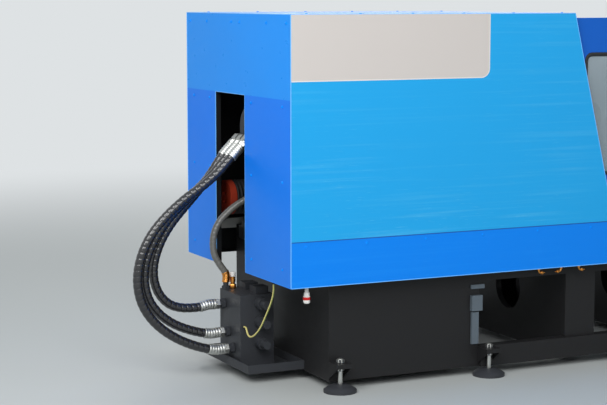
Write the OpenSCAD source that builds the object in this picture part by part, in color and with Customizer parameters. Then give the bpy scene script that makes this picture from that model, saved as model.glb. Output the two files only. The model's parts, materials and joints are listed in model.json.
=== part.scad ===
// Toggle-clamp injection moulding machine, standing on its levelling feet.
// Lengths are in millimetres. Along the machine they are counted from the outer face of the
// end cover at the clamp end; across it from the machine axis; upwards from the floor.

/* [Clamp unit] */
// Height of the machine axis above the floor
axis_z = 1430; // [1425:5:1445]
// Gap between the end cover and the cap of the clamp cylinder
cylinder_inset = 80; // [75:5:110]
// Length of the clamp cylinder
cylinder_l = 680; // [640:10:740]
// Outside radius of the clamp cylinder
cylinder_r = 115; // [105:1:117]
// Thickness of the tail platen
tail_t = 200; // [180:10:240]
// Thickness of the moving platen
moving_t = 220; // [210:10:260]
// Thickness of the fixed platen
fixed_t = 240; // [220:10:280]
// Width of the platens
platen_w = 1120; // [1100:10:1160]
// Height of the platens
platen_h = 1160; // [1140:10:1180]
// Opening between the closed platens
mould_gap = 550; // [500:10:650]
// Distance of the tie bars from the machine axis, sideways
tie_y = 430; // [425:1:440]
// Distance of the tie bars from the upper and lower edges of the platens
tie_edge = 130; // [125:1:135]
// Radius of the tie bars
tie_r = 55; // [45:1:60]
// Outside radius of the tie-bar bellows
bellows_r = 105; // [98:1:110]
// Number of folds in each bellows
bellows_folds = 24; // [16:1:30]

/* [Toggle] */
// Distance between the pins of each toggle link
link_l = 280; // [270:2:300]
// Height of the outer toggle pins above and below the axis
pin_z = 350; // [350:1:356]
// Distance from a platen's face to its toggle pins
ear_reach = 100; // [96:1:120]
// Radius of the main toggle pins
pin_r = 35; // [25:1:40]
// Radius of the eyes of links and ears
eye_r = 65; // [58:1:66]
// Thickness of the links and ears
link_t = 60; // [50:1:60]
// Sideways gap between neighbouring links
link_gap = 5; // [3:0.5:5]
// Half the width of the crosshead
crosshead_y = 110; // [90:1:110]
// Radius of the clamp piston rod
rod_r = 45; // [35:1:55]
// Working stroke of the ejector
ejector_stroke = 100; // [60:5:100]

/* [Bed] */
// Width of the clamp bed
bed_w = 1300; // [1280:10:1320]
// Height of the shoes under the moving platen
shoe_h = 40; // [34:1:46]
// Height of the underside of the bed above the floor
bed_z0 = 50; // [48:1:60]
// Thickness of the side plates of the bed
side_t = 40; // [20:2:50]
// Distance from the end cover to the end of the bed
bed_start = 280; // [240:10:300]
// Start of the service window in the bed
window_u = 1250; // [1230:10:1280]
// Start of the parts chute in the bed
chute_u = 2060; // [2050:5:2065]
// Length of the service window and of the parts chute
window_l = 600; // [500:10:600]
// Depth of the drip tray that shows behind the end cover
tray_reach = 70; // [40:5:90]
// Length of the bed under the injection unit
injection_bed_l = 3570; // [3500:10:4000]
// Width of the bed under the injection unit
injection_bed_w = 1200; // [1160:10:1240]
// Height of the bed under the injection unit
injection_bed_h = 900; // [880:5:920]
// Spacing of the levelling feet along the machine
foot_pitch = 966; // [940:2:980]
// Radius of the pads of the levelling feet
foot_r = 93; // [70:1:100]

/* [Covers] */
// Half the width over the covers
cover_y = 750; // [745:1:780]
// Height of the top of the covers
cover_top = 2090; // [2088:1:2110]
// Height of the seam between side cover and skirt
seam_z = 863; // [850:1:880]
// Height of the lower edge of the skirt
skirt_z = 610; // [580:5:640]
// Slope of the front edge of the side cover from upright
cover_rake = 13.7; // [8:0.1:15]
// Height of the seam between the end header and the end legs
header_z = 1630; // [1600:5:1680]
// Edge of the end opening on the operator's side, from the axis
slot_front = 130; // [128:1:150]
// Edge of the end opening on the rear side, from the axis
slot_rear = 300; // [260:5:330]
// Thickness of the cover sheet
sheet_t = 4; // [2:0.5:5]
// Length of each safety door
door_l = 1000; // [980:10:1040]
// Thickness of each safety door
door_t = 30; // [24:1:34]

/* [Injection unit] */
// Length of the barrel in front of its housing
barrel_l = 1250; // [1200:10:1300]
// Outside radius of the barrel
barrel_r = 75; // [65:1:80]
// Radius of the screw
screw_r = 34.7; // [25:0.1:40]
// Gap between the fixed platen and the nozzle when the unit is back
nozzle_gap = 170; // [150:5:200]
// Length of the nozzle and its adapter
nozzle_l = 300; // [250:5:330]
// Length of the barrel housing
housing_l = 350; // [320:5:400]
// Travel of the screw while it injects
injection_stroke = 250; // [180:5:250]
// Half the width of the hopper
hopper_y = 290; // [250:5:310]
// Height of the hopper above the barrel housing
hopper_h = 720; // [600:10:760]

/* [Hoses] */
// Radius of the three clamp hoses
hose_r = 27; // [18:1:29]
// Radius of the hose inside the end opening
slot_hose_r = 20; // [14:1:22]
// Radius of the earth wire
wire_r = 5; // [4:0.5:6]

/* [Hidden] */
$fn = 64;

// Clearances: sliding fits, gaps between bodies, and the overlap that makes a clean cut.
fit = 0.1;
gap = 0.3;
cut = 1;

// Stations along the machine, from the end cover.
u_cylinder = cylinder_inset;
u_tail = u_cylinder + cylinder_l;
u_tail_front = u_tail + tail_t;
u_rear_pin = u_tail_front + ear_reach;
u_elbow = u_rear_pin + link_l;
u_front_pin = u_elbow + link_l;
u_moving = u_front_pin + ear_reach;
u_mould = u_moving + moving_t;
u_fixed = u_mould + mould_gap;
u_fixed_back = u_fixed + fixed_t;
u_split = u_fixed_back + 30;
u_end = u_split + injection_bed_l;
u_mid = (u_end - tray_reach) / 2;

// Toggle: half the links are worked at half their length by the crosshead.
cross_l = link_l / 2;
cross_eye_r = 50;
cross_pin_r = 30;
plane_1 = crosshead_y + link_gap;
plane_2 = plane_1 + link_t + link_gap;
plane_3 = plane_2 + link_t + link_gap;
plane_4 = plane_3 + link_t + link_gap;

// Clamp bed.
platen_z0 = axis_z - platen_h / 2;
tie_z = platen_h / 2 - tie_edge;
way_h = 30;
way_top = platen_z0 - shoe_h;
bed_top = way_top - way_h;
way_y0 = 420;
way_y1 = 560;
beam_h = 80;
beam_y0 = 400;
window_z0 = 170;
window_z1 = 550;
sill_t = 30;
wall_t = 40;
wall_clear = 20;
cross_walls = [
  bed_start, window_u - wall_t - 10, window_u + window_l + 10, chute_u - wall_t - 10,
  chute_u + window_l + 10, u_split - wall_t
];

// Levelling feet: the first is set back a little from the end of the bed.
foot_u0 = bed_start + 45;
foot_out = 50;
pad_h = 44;
bracket_z0 = 140;
bracket_z1 = 165;
stud_r = 12;
clamp_feet = [for (i = [0:2]) foot_u0 + i * foot_pitch];
injection_feet = [for (i = [3:6]) foot_u0 + i * foot_pitch];

// Covers and doors.
return_w = 34;
post_u1 = sheet_t + 60;
rail_y0 = bed_w / 2;
rail_y1 = rail_y0 + 40;
rail_h = 60;
low_rail_z = bed_top - 20;
rail_top = 2050;
top_rail_z = rail_top - rail_h;
door_y1 = cover_y - 20;
door_y0 = door_y1 - door_t;
u_door = u_split - door_l;
cover_lap = 55;
cover_l = u_door + cover_lap;
door_z0 = low_rail_z + rail_h + gap;
door_z1 = rail_top + 12;
view_z0 = 1150;
view_z1 = 1850;
view_inset = 150;
handle_r = 11;
handle_z = 1400;
handle_h = 220;
handle_out = 38;
handle_inset = 60;

// Platens.
bore_r = 80;
bore_back_r = 150;
bolt_r = 8.75;
bolt_depth = 50;
bolt_near = 350;
bolt_far = 700;
foot_y0 = 350;
nut_r = 85;
nut_t = 80;
height_nut_t = 60;
gear_teeth = 30;
disc_t = 20;
u_disc = 130;
u_bellows = u_disc + disc_t;

// Injection unit.
u_nozzle = u_fixed_back + nozzle_gap;
u_barrel = u_nozzle + nozzle_l;
u_housing = u_barrel + barrel_l;
u_housing_back = u_housing + housing_l;
u_hopper = u_housing + 150;
u_drive = u_housing_back + 350;
drive_t = 100;
u_support = u_drive + 500;
support_t = 60;
housing_y = 330;
housing_top = axis_z + 140;
slide_y0 = 300;
slide_y1 = 380;
slide_top = injection_bed_h + 40;
guide_y = 230;
guide_z = axis_z - 200;
guide_r = 30;
shift_z = injection_bed_h + 100;
shift_r = 45;
shift_rod_r = 20;
u_shift = u_housing - 1000;
shift_l = 500;
band_l = 150;
band_gap = 45;
bands = 6;

// Control panel.
hinge_u = u_split + 45;
hinge_y = -(platen_w / 2 + 130);
hinge_z0 = 1470;
hinge_z1 = 1730;
hinge_r = 15;
panel_reach = 70;
panel_w = 420;
panel_h = 560;
panel_t = 90;
panel_z = 1350;

// Hoses: their ports on the cylinder's cap and on the valve block, and their routes.
port_y = [-50, 15, 80];
block_u0 = -40;
block_z0 = 110;
block_z1 = 480;
nipple_l = 60;
nipple_z = [160, 245, 400];
clamp_hose_routes = [
  [[10, -50, 1330], [-30, -50, 1290], [-75, -50, 1243], [-140, -50, 1180], [-230, -50, 1112],
   [-340, -50, 1040], [-450, -50, 950], [-540, -50, 850], [-600, -50, 735], [-625, -50, 610],
   [-610, -50, 490], [-560, -50, 390], [-480, -50, 305], [-375, -50, 235], [-260, -50, 185],
   [-160, -50, 160], [-100, -50, 160]],
  [[10, 15, 1330], [-30, 15, 1290], [-75, 15, 1240], [-140, 15, 1170], [-230, 15, 1090],
   [-330, 15, 1005], [-425, 15, 910], [-500, 15, 805], [-550, 15, 690], [-560, 15, 575],
   [-535, 15, 470], [-475, 15, 385], [-390, 15, 320], [-290, 15, 275], [-180, 15, 245],
   [-100, 15, 245]],
  [[10, 80, 1330], [-30, 80, 1290], [-72, 80, 1240], [-125, 80, 1165], [-200, 80, 1075],
   [-285, 80, 985], [-370, 80, 890], [-435, 80, 790], [-475, 80, 680], [-480, 80, 580],
   [-450, 80, 490], [-390, 80, 425], [-310, 80, 395], [-210, 80, 390], [-150, 80, 400],
   [-100, 80, 400]]
];
slot_hose_route = [
  [300, 0, 1265], [300, 0, 1205], [290, 12, 1145], [255, 28, 1095], [200, 48, 1055],
  [130, 70, 1022], [60, 90, 985], [0, 103, 940], [-55, 110, 885], [-90, 110, 820],
  [-100, 110, 750], [-90, 110, 685], [-60, 110, 630], [-20, 110, 570], [-20, 110, 520]
];
earth_wire_route = [
  [20, -480, 596], [20, -480, 565], [19, -472, 530], [14, -456, 486], [6, -434, 440],
  [-2, -410, 395], [-10, -384, 350], [-18, -354, 312], [-25, -322, 284], [-30, -290, 268],
  [-32, -258, 264], [-30, -230, 274], [-25, -205, 290], [-20, -182, 300], [-20, -158, 300]
];

// Colours.
paint = "#2b96f0";
film_paint = "#2baae8";
skirt_paint = "#0087f0";
bed_black = "#262626";
rail_grey = "#c9c9c4";
cast_grey = "#8d9296";
steel = "#b9bcc0";
link_grey = "#70757a";

// Places what is measured from the end cover about the middle of the machine.
module placed() {
  translate([-u_mid, 0, 0])
    children();
}

// Repeats its children on the other side of the machine axis.
module both_sides() {
  children();
  mirror([0, 1, 0])
    children();
}

// A block between two corners.
module block(from, to) {
  translate(from)
    cube(to - from);
}

// A round bar along the machine between two stations.
module bar_u(r, u0, u1, y, z) {
  translate([u0, y, z])
    rotate([0, 90, 0])
      cylinder(r = r, h = u1 - u0);
}

// A round bar across the machine.
module bar_y(r, y0, y1, u, z) {
  translate([u, y0, z])
    rotate([-90, 0, 0])
      cylinder(r = r, h = y1 - y0);
}

// A profile of side and height, pulled along the machine: x of the profile is across, y is up.
module pulled_u(u0, u1) {
  translate([u0, 0, 0])
    rotate([90, 0, 90])
      linear_extrude(u1 - u0)
        children();
}

// A side view, pulled across the machine: x of the profile is along, y is up.
module pulled_y(y0, y1) {
  translate([0, y1, 0])
    rotate([90, 0, 0])
      linear_extrude(y1 - y0)
        children();
}

// A rectangle with round corners.
module rounded(w, h, r) {
  square([w - 2 * r, h], center = true);
  square([w, h - 2 * r], center = true);
  for (x = [-1, 1], y = [-1, 1])
    translate([x * (w / 2 - r), y * (h / 2 - r)])
      circle(r);
}

// A folded tray of sheet: a face with a return all round, for a side view outline.
module folded_panel(outline, y_face, depth, wall) {
  difference() {
    pulled_y(y_face - depth, y_face)
      polygon(outline);
    pulled_y(y_face - depth - cut, y_face - wall)
      offset(delta = -wall)
        polygon(outline);
  }
}

// Bed of the clamp unit: two side plates with windows.
module bed_side_beams() {
  color(bed_black)
    placed()
      both_sides()
        bed_side();
}

module bed_side() {
  difference() {
    block([bed_start, bed_w / 2 - side_t, bed_z0], [u_split, bed_w / 2, bed_top]);
    for (u = [window_u, chute_u])
      block([u, bed_w / 2 - side_t - cut, window_z0], [u + window_l, bed_w / 2 + cut, window_z1]);
  }
}

// A shelf that the levelling stud passes through, on two gussets.
module foot_bracket(u, y_face) {
  half = 48;
  gusset_t = 10;
  gusset_h = 75;
  out = 2 * foot_out + 5;
  difference() {
    block([u - half, y_face, bracket_z0], [u + half, y_face + out, bracket_z1]);
    translate([u, y_face + foot_out, bracket_z0 - cut])
      cylinder(r = stud_r, h = bracket_z1 - bracket_z0 + 2 * cut);
  }
  for (side = [u - half, u + half - gusset_t])
    translate([side, y_face, bracket_z0])
      rotate([90, 0, 90])
        linear_extrude(gusset_t)
          polygon([[0, 0], [out, 0], [0, -gusset_h]]);
}

// Cross walls between the side plates, and outside them the proud sills and the foot brackets.
module bed_cross_members() {
  inner = bed_w / 2 - side_t;
  color(bed_black)
    placed() {
      for (u = cross_walls)
        difference() {
          block([u, -inner, bed_z0], [u + wall_t, inner, bed_top - beam_h]);
          if (u > bed_start)
            translate([u - cut, 0, (bed_z0 + bed_top - beam_h) / 2])
              rotate([0, 90, 0])
                cylinder(r = 140, h = wall_t + 2 * cut);
        }
      both_sides()
        block([window_u, bed_w / 2, bed_z0], [u_split, bed_w / 2 + sill_t, window_z0]);
      both_sides()
        for (u = clamp_feet)
          foot_bracket(u, bed_w / 2);
    }
}

// Long beams on the cross walls with the hardened ways that the platens slide on.
module bed_ways() {
  color(steel)
    placed()
      both_sides()
        union() {
          block([bed_start, beam_y0, bed_top - beam_h], [u_split, bed_w / 2 - side_t, bed_top]);
          block([bed_start, way_y0, bed_top], [u_fixed - 10, way_y1, way_top]);
        }
}

// Bed of the injection unit: floor, top plate with slide rails, walls and an open pump bay.
module injection_bed() {
  y1 = injection_bed_w / 2;
  plate = 40;
  color(bed_black)
    placed() {
      difference() {
        block([u_split, -y1, bed_z0], [u_end, y1, injection_bed_h]);
        injection_bays(y1, plate);
        block([u_split - cut, -y1 + 2 * plate, bed_z0 + plate],
           [u_split + 30, y1 - plate, injection_bed_h - plate]);
        cabinet_recesses(y1);
        for (y = [-tie_y, tie_y])
          bar_u(nut_r + 10, u_split - cut, u_fixed_back + nut_t + 10, y, axis_z - tie_z);
      }
      both_sides()
        block([u_split + 400, slide_y0, injection_bed_h], [u_end - 100, slide_y1, slide_top]);
      both_sides()
        for (u = injection_feet)
          foot_bracket(u, y1);
      shift_cylinder();
    }
}

bay_l = (injection_bed_l - 4 * wall_t) / 3;
bay_u = [for (i = [0:2]) u_split + wall_t + i * (bay_l + wall_t)];
bay_z0 = bed_z0 + 50;
bay_z1 = injection_bed_h - 80;

// The tank bay and the pump bay open at the rear above a sill; the third holds the electrics.
module injection_bays(y1, plate) {
  for (i = [0:1]) {
    block([bay_u[i], -y1 + plate, bay_z0], [bay_u[i] + bay_l, y1 - plate, bay_z1]);
    block([bay_u[i], y1 - plate - cut, bay_z0 + 190], [bay_u[i] + bay_l, y1 + cut, bay_z1]);
  }
}

// Three shallow door recesses along the operator's side of the injection bed, with louvres.
module cabinet_recesses(y1) {
  recess = 6;
  edge = 40;
  louvre_h = 12;
  for (u = bay_u)
    block([u, -y1 - cut, bay_z0 + 190], [u + bay_l, -y1 + recess, bay_z1 - edge]);
  for (i = [0:7])
    block([bay_u[2] + bay_l / 4, -y1, bay_z1 - 3 * edge - 3 * i * louvre_h],
       [bay_u[2] + 3 * bay_l / 4, -y1 + 4 * recess, bay_z1 - 3 * edge - 3 * i * louvre_h + louvre_h]);
}

// Cylinder that pulls the nozzle up to the mould, on two saddles.
module shift_cylinder() {
  difference() {
    union() {
      bar_u(shift_r, u_shift, u_shift + shift_l, 0, shift_z);
      for (u = [u_shift + 20, u_shift + shift_l - 60])
        block([u, -60, injection_bed_h], [u + 40, 60, shift_z + 10]);
    }
    bar_u(shift_rod_r + fit, u_shift + 60, u_shift + shift_l + cut, 0, shift_z);
  }
}

// Fourteen levelling feet: a dished pad, a stud and two hexagon nuts.
module levelling_feet() {
  color("#1d1d1e")
    placed()
      both_sides() {
        for (u = clamp_feet)
          levelling_foot(u, bed_w / 2 + foot_out);
        for (u = injection_feet)
          levelling_foot(u, injection_bed_w / 2 + foot_out);
      }
}

module levelling_foot(u, y) {
  nut_h = 20;
  nut_across = 22;
  translate([u, y, 0]) {
    rotate_extrude()
      polygon([[0, 0], [foot_r, 0], [foot_r, 16], [foot_r - 20, 30], [32, pad_h], [0, pad_h]]);
    cylinder(r = stud_r, h = bracket_z1 + nut_h + 3);
    translate([0, 0, bracket_z0 - nut_h])
      cylinder(r = nut_across, h = nut_h, $fn = 6);
    translate([0, 0, bracket_z1])
      cylinder(r = nut_across, h = nut_h, $fn = 6);
  }
}

// Oil level gauge on the operator's side of the bed: sight bar, block and upper bracket.
module oil_gauge() {
  y = -bed_w / 2;
  u = window_u - 55;
  color("#a9b4bd")
    placed() {
      block([u, y - 16, 185], [u + 45, y, 372]);
      block([u - 5, y - 24, 380], [u + 65, y, 470]);
      block([u - 5, y - 12, 508], [u + 85, y, 532]);
    }
}

// Shallow pan under the valve block, carried by the end wall of the bed.
module drip_tray() {
  half = 330;
  wall = 5;
  z0 = 60;
  color("#1f1f20")
    placed()
      difference() {
        block([-tray_reach, -half, z0], [bed_start, half, block_z0]);
        block([-tray_reach + wall, -half + wall, z0 + wall], [bed_start - wall, half - wall, block_z0 + cut]);
      }
}

// Hydraulic oil tank in the first bay, with a filler cap.
module oil_tank() {
  y1 = injection_bed_w / 2 - 50;
  z1 = bay_z1 - 60;
  color("#3a3d40")
    placed() {
      difference() {
        block([bay_u[0] + 20, -y1, bay_z0], [bay_u[0] + bay_l - 20, y1, z1]);
        for (i = [0:2])
          block([bay_u[0] + 80 + i * (bay_l - 140) / 3, y1 - 8, bay_z0 + 80],
             [bay_u[0] + 20 + (i + 1) * (bay_l - 140) / 3, y1 + cut, z1 - 80]);
      }
      translate([bay_u[0] + 200, y1 - 120, z1])
        cylinder(r = 55, h = 40);
    }
}

// Servo motor and pump on a common foot, in the open bay.
module pump_set() {
  u = bay_u[1] + 120;
  y = 280;
  z = bay_z0 + 260;
  color("#2d3a48")
    placed() {
      for (a = [u + 60, u + 700])
        block([a, y - 110, bay_z0], [a + 60, y + 110, z]);
      bar_u(150, u, u + 40, y, z);
      difference() {
        bar_u(140, u + 40, u + 420, y, z);
        for (a = [0:30:330])
          translate([u + 90, y, z])
            rotate([a, 0, 0])
              translate([0, -6, 128])
                cube([280, 12, 20]);
      }
      bar_u(95, u + 420, u + 560, y, z);
      bar_u(120, u + 560, u + 800, y, z);
      bar_u(60, u + 800, u + 860, y, z);
      block([u + 640, y - 50, z], [u + 740, y + 50, z + 190]);
    }
}

// Valve block of the clamp on the drip tray, with cartridge covers, valves and nipples.
module manifold_block() {
  u1 = 170;
  y1 = 150;
  earth_end = earth_wire_route[len(earth_wire_route) - 1];
  color("#4a4d50")
    placed() {
      block([block_u0, -y1, block_z0 - 45], [u1, y1, block_z1]);
      for (y = [-75, 75])
        block([block_u0 + 110, y - 45, block_z1], [u1 - 20, y + 45, block_z1 + 40]);
      for (z = [200, 320, 430]) {
        bar_y(34, -y1 - 60, -y1, u1 - 90, z);
        bar_y(24, -y1 - 110, -y1 - 60, u1 - 90, z);
      }
      for (i = [0:2]) {
        bar_u(21, block_u0 - nipple_l, block_u0, port_y[i], nipple_z[i]);
        bar_u(31, block_u0 - 26, block_u0 - 4, port_y[i], nipple_z[i], $fn = 6);
      }
      bar_y(9, -y1 - 8, -y1, earth_end[0], earth_end[2]);
      translate([-20, 110, block_z1]) {
        cylinder(r = 16, h = 40);
        cylinder(r = 26, h = 18, $fn = 6);
      }
    }
}

// Dark posts at the clamp end, and the brackets at the fixed platen that carry the rails.
module cover_posts() {
  color("#35363a")
    placed() {
      both_sides() {
        difference() {
          block([sheet_t, rail_y0, low_rail_z + rail_h], [post_u1, rail_y1, top_rail_z]);
          block([sheet_t + 6, rail_y0 - cut, low_rail_z + rail_h + 6],
             [post_u1 - 6, rail_y1 - 6, top_rail_z - 6]);
        }
        block([u_fixed + 60, platen_w / 2, top_rail_z - 30], [u_fixed + 180, rail_y1, top_rail_z]);
      }
      panel_bracket();
    }
}

// Arm from the fixed platen, past the end of the door, to the pin of the control panel.
module panel_bracket() {
  u1 = hinge_u + 32;
  arm_y = rail_y0 - 10;
  z0 = hinge_z0 - 30;
  block([u_fixed_back - 70, -arm_y, z0], [u1, -platen_w / 2, hinge_z0]);
  block([u1 - 60, hinge_y - 30, z0], [u1, -arm_y, hinge_z0]);
  translate([hinge_u, hinge_y, hinge_z0])
    cylinder(r = hinge_r, h = hinge_z1 + 20 - hinge_z0);
}

// Light rails of the safety doors, drilled in pairs, with stubs that carry the top cover.
module door_rails() {
  color(rail_grey)
    placed()
      both_sides() {
        drilled_rail(low_rail_z);
        drilled_rail(top_rail_z);
        for (u = [0.1, 0.3, 0.5] * u_split)
          block([u, rail_y0, rail_top], [u + 40, rail_y0 + 14, cover_top - sheet_t]);
      }
}

module drilled_rail(z) {
  hole_r = 7;
  pair = 36;
  difference() {
    block([sheet_t, rail_y0, z], [u_split, rail_y1, z + rail_h]);
    for (u = [0.05, 0.12, 0.26, 0.4] * u_split, du = [0, pair])
      bar_y(hole_r, rail_y0 - cut, rail_y1 + cut, u + du, z + rail_h / 2);
  }
}

// Upper part of the end cover, full width, with returns along its sides and top.
module end_header() {
  z1 = cover_top;
  y_in = cover_y - sheet_t;
  color(paint)
    placed() {
      block([0, -cover_y, header_z], [sheet_t, cover_y, z1]);
      both_sides()
        block([sheet_t, y_in - sheet_t, header_z], [return_w, y_in, z1 - 2 * sheet_t]);
      block([sheet_t, -y_in, z1 - 2 * sheet_t], [return_w, y_in, z1 - sheet_t]);
    }
}

// The two legs of the end cover, on either side of the opening for the hoses.
module end_legs() {
  color("#2a86ea")
    placed() {
      end_leg(-cover_y, -slot_front, -1);
      end_leg(slot_rear, cover_y, 1);
      translate(earth_wire_route[0])
        cylinder(r = 9, h = skirt_z - earth_wire_route[0][2]);
    }
}

module end_leg(y0, y1, side) {
  outer = side < 0 ? y0 + sheet_t : y1 - 2 * sheet_t;
  inner = side < 0 ? y1 - sheet_t : y0;
  block([0, y0, skirt_z], [sheet_t, y1, header_z]);
  block([sheet_t, outer, skirt_z], [return_w, outer + sheet_t, header_z]);
  block([sheet_t, inner, skirt_z], [return_w, inner + sheet_t, header_z]);
  block([sheet_t, y0 + (side < 0 ? 2 * sheet_t : sheet_t), skirt_z],
     [return_w, y1 - (side < 0 ? sheet_t : 2 * sheet_t), skirt_z + sheet_t]);
}

// Outline of a side cover: upright at the end, raked at the front.
function cover_outline() = [
  [sheet_t, seam_z],
  [sheet_t, cover_top],
  [cover_l, cover_top],
  [cover_l + (cover_top - seam_z) * tan(cover_rake), seam_z]
];

module side_cover() {
  turned = 14;
  y_in = cover_y - sheet_t;
  difference() {
    folded_panel(cover_outline(), cover_y, turned, sheet_t);
    block([0, y_in - turned, seam_z - cut], [return_w, y_in, cover_top + cut]);
    block([0, y_in - turned, cover_top - sheet_t], [u_split, y_in, cover_top + cut]);
  }
  block([return_w + sheet_t, y_in - return_w, cover_top - 2 * sheet_t],
     [cover_l - sheet_t, y_in, cover_top - sheet_t]);
}

// Side cover on the operator's side.
module front_side_cover() {
  color(film_paint)
    placed()
      mirror([0, 1, 0])
        side_cover();
}

// Side cover on the rear side.
module rear_side_cover() {
  color(film_paint)
    placed()
      side_cover();
}

// Skirts below the side covers: a web, and a bottom flange that reaches the bed.
module side_skirts() {
  color(skirt_paint)
    placed()
      both_sides()
        union() {
          block([sheet_t, cover_y - sheet_t, skirt_z], [u_split, cover_y, seam_z]);
          block([return_w + sheet_t, rail_y0, skirt_z], [u_split, cover_y - sheet_t, skirt_z + sheet_t]);
          block([return_w + sheet_t, cover_y - 14, seam_z - sheet_t],
             [u_split, cover_y - sheet_t, seam_z]);
        }
}

// Top sheet over the toggle, with its front edge folded down and rows of air slots.
module top_cover() {
  half = cover_y - sheet_t;
  slot_l = 110;
  slot_w = 24;
  color(paint)
    placed()
      difference() {
        union() {
          block([sheet_t, -half, cover_top - sheet_t], [cover_l, half, cover_top]);
          block([cover_l - sheet_t, -rail_y0 + 10, cover_top - 24],
                [cover_l, rail_y0 - 10, cover_top - sheet_t]);
        }
        for (row = [-2:2], i = [0:7])
          translate([cover_l * (0.18 + 0.08 * i), row * 180 - slot_l / 2, cover_top - sheet_t - cut])
            cube([slot_w, slot_l, sheet_t + 2 * cut]);
      }
}

// Outline of a platen seen along the machine: round corners and, at the bottom, two feet.
module platen_face(foot_z) {
  translate([0, axis_z])
    rounded(platen_w, platen_h, 60);
  for (side = [-1, 1])
    translate([side * (foot_y0 + platen_w / 2 - 40) / 2, (foot_z + platen_z0 + 80) / 2])
      square([platen_w / 2 - 40 - foot_y0, platen_z0 + 80 - foot_z], center = true);
}

// Runs its children at the four tie bars.
module at_tie_bars() {
  for (y = [-1, 1], z = [-1, 1])
    translate([0, y * tie_y, axis_z + z * tie_z])
      children();
}

// Four tapped mounting holes of a rectangle, drilled from the mould face.
module bolt_rectangle(w, h, u0, u1) {
  for (y = [-w / 2, w / 2], z = [-h / 2, h / 2])
    bar_u(bolt_r, u0, u1, y, axis_z + z);
}

module bolt_grid(u0, u1) {
  bolt_rectangle(bolt_near, bolt_near, u0, u1);
  bolt_rectangle(bolt_far, bolt_near, u0, u1);
  bolt_rectangle(bolt_near, bolt_far, u0, u1);
}

// Fixed platen: casting with corner bosses, a nozzle recess and the locating bore.
module fixed_platen() {
  plate_t = 110;
  color(cast_grey)
    placed() {
      difference() {
        union() {
          pulled_u(u_fixed, u_fixed + plate_t)
            platen_face(bed_top);
          pulled_u(u_fixed + plate_t, u_fixed_back)
            platen_ribs();
        }
        at_tie_bars()
          bar_u(tie_r, u_fixed - cut, u_fixed_back + cut, 0, 0);
        bar_u(bore_r, u_fixed - cut, u_fixed_back + cut, 0, axis_z);
        translate([u_fixed + plate_t, 0, axis_z])
          rotate([0, 90, 0])
            cylinder(r1 = bore_r, r2 = bore_back_r, h = fixed_t - plate_t + cut);
        bolt_grid(u_fixed - cut, u_fixed + bolt_depth);
      }
      for (y = [-290, 270])
        purge_ear(y);
    }
}

// Back of a platen casting: frame, corner bosses, hub and the ribs between them.
module platen_ribs() {
  rib = 60;
  translate([0, axis_z]) {
    difference() {
      rounded(platen_w, platen_h, 60);
      rounded(platen_w - 2 * rib, platen_h - 2 * rib, 40);
    }
    circle(bore_back_r + 50);
    for (y = [-1, 1], z = [-1, 1])
      translate([y * tie_y, z * tie_z])
        circle(nut_r + 15);
    difference() {
      union() {
        for (a = [0, 90])
          rotate(a)
            square([platen_h - rib, rib], center = true);
        for (side = [-1, 1])
          rotate(side * atan(tie_z / tie_y))
            square([2 * norm([tie_y, tie_z]), rib], center = true);
      }
      circle(bore_back_r);
      difference() {
        square([2 * platen_w, 2 * platen_h], center = true);
        square([platen_w - rib, platen_h - rib], center = true);
      }
    }
  }
  for (side = [-1, 1])
    translate([side * (foot_y0 + platen_w / 2 - 40) / 2, (bed_top + platen_z0 + rib) / 2])
      square([platen_w / 2 - 40 - foot_y0, platen_z0 + rib - bed_top], center = true);
}

guard_pin_r = 8;
guard_u = u_fixed_back + 22;
guard_z = axis_z + 235;

// Ear on the fixed platen that carries the pin of the purge guard.
module purge_ear(y) {
  difference() {
    block([u_fixed_back - 10, y, guard_z - 18], [guard_u + 14, y + 20, guard_z + 18]);
    bar_y(guard_pin_r + fit, y - cut, y + 20 + cut, guard_u, guard_z);
  }
}

// Four tie bars, pressed in the fixed platen.
module tie_bars() {
  color(steel)
    placed()
      at_tie_bars()
        bar_u(tie_r, u_disc, u_fixed_back + nut_t + 20, 0, 0);
}

// Round nuts that hold the tie bars behind the fixed platen, each with four spanner holes.
module tie_bar_nuts() {
  color(link_grey)
    placed()
      at_tie_bars()
        difference() {
          bar_u(nut_r, u_fixed_back, u_fixed_back + nut_t, 0, 0);
          bar_u(tie_r, u_fixed_back - cut, u_fixed_back + nut_t + cut, 0, 0);
          for (a = [45:90:315])
            rotate([a, 0, 0])
              bar_u(6, u_fixed_back + nut_t - 25, u_fixed_back + nut_t + cut, (tie_r + nut_r) / 2, 0);
        }
}

// Red discs that close the bellows at the ends of the tie bars, with two oblong holes.
module tie_bar_end_discs() {
  color("#c8452c")
    placed()
      at_tie_bars()
        difference() {
          bar_u(bellows_r, u_disc - disc_t, u_bellows, 0, 0);
          bar_u(tie_r, u_disc, u_bellows + cut, 0, 0);
          for (z = [-26, 26])
            translate([u_disc - disc_t - cut, 0, z])
              rotate([90, 0, 90])
                linear_extrude(disc_t - 2 + cut)
                  rounded(44, 20, 9);
        }
}

// An ear that holds a toggle pin, with a wide root on the platen's face; dir points at the face.
module ear(y0, u_pin, z_pin, dir, bore) {
  root = eye_r + 28;
  difference() {
    pulled_y(y0, y0 + link_t)
      translate([u_pin, z_pin])
        union() {
          circle(eye_r);
          polygon([[0, -eye_r], [dir * ear_reach, -root], [dir * (ear_reach + 10), -root],
              [dir * (ear_reach + 10), root], [dir * ear_reach, root], [0, eye_r]]);
        }
    bar_y(bore, y0 - cut, y0 + link_t + cut, u_pin, z_pin);
  }
}

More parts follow.
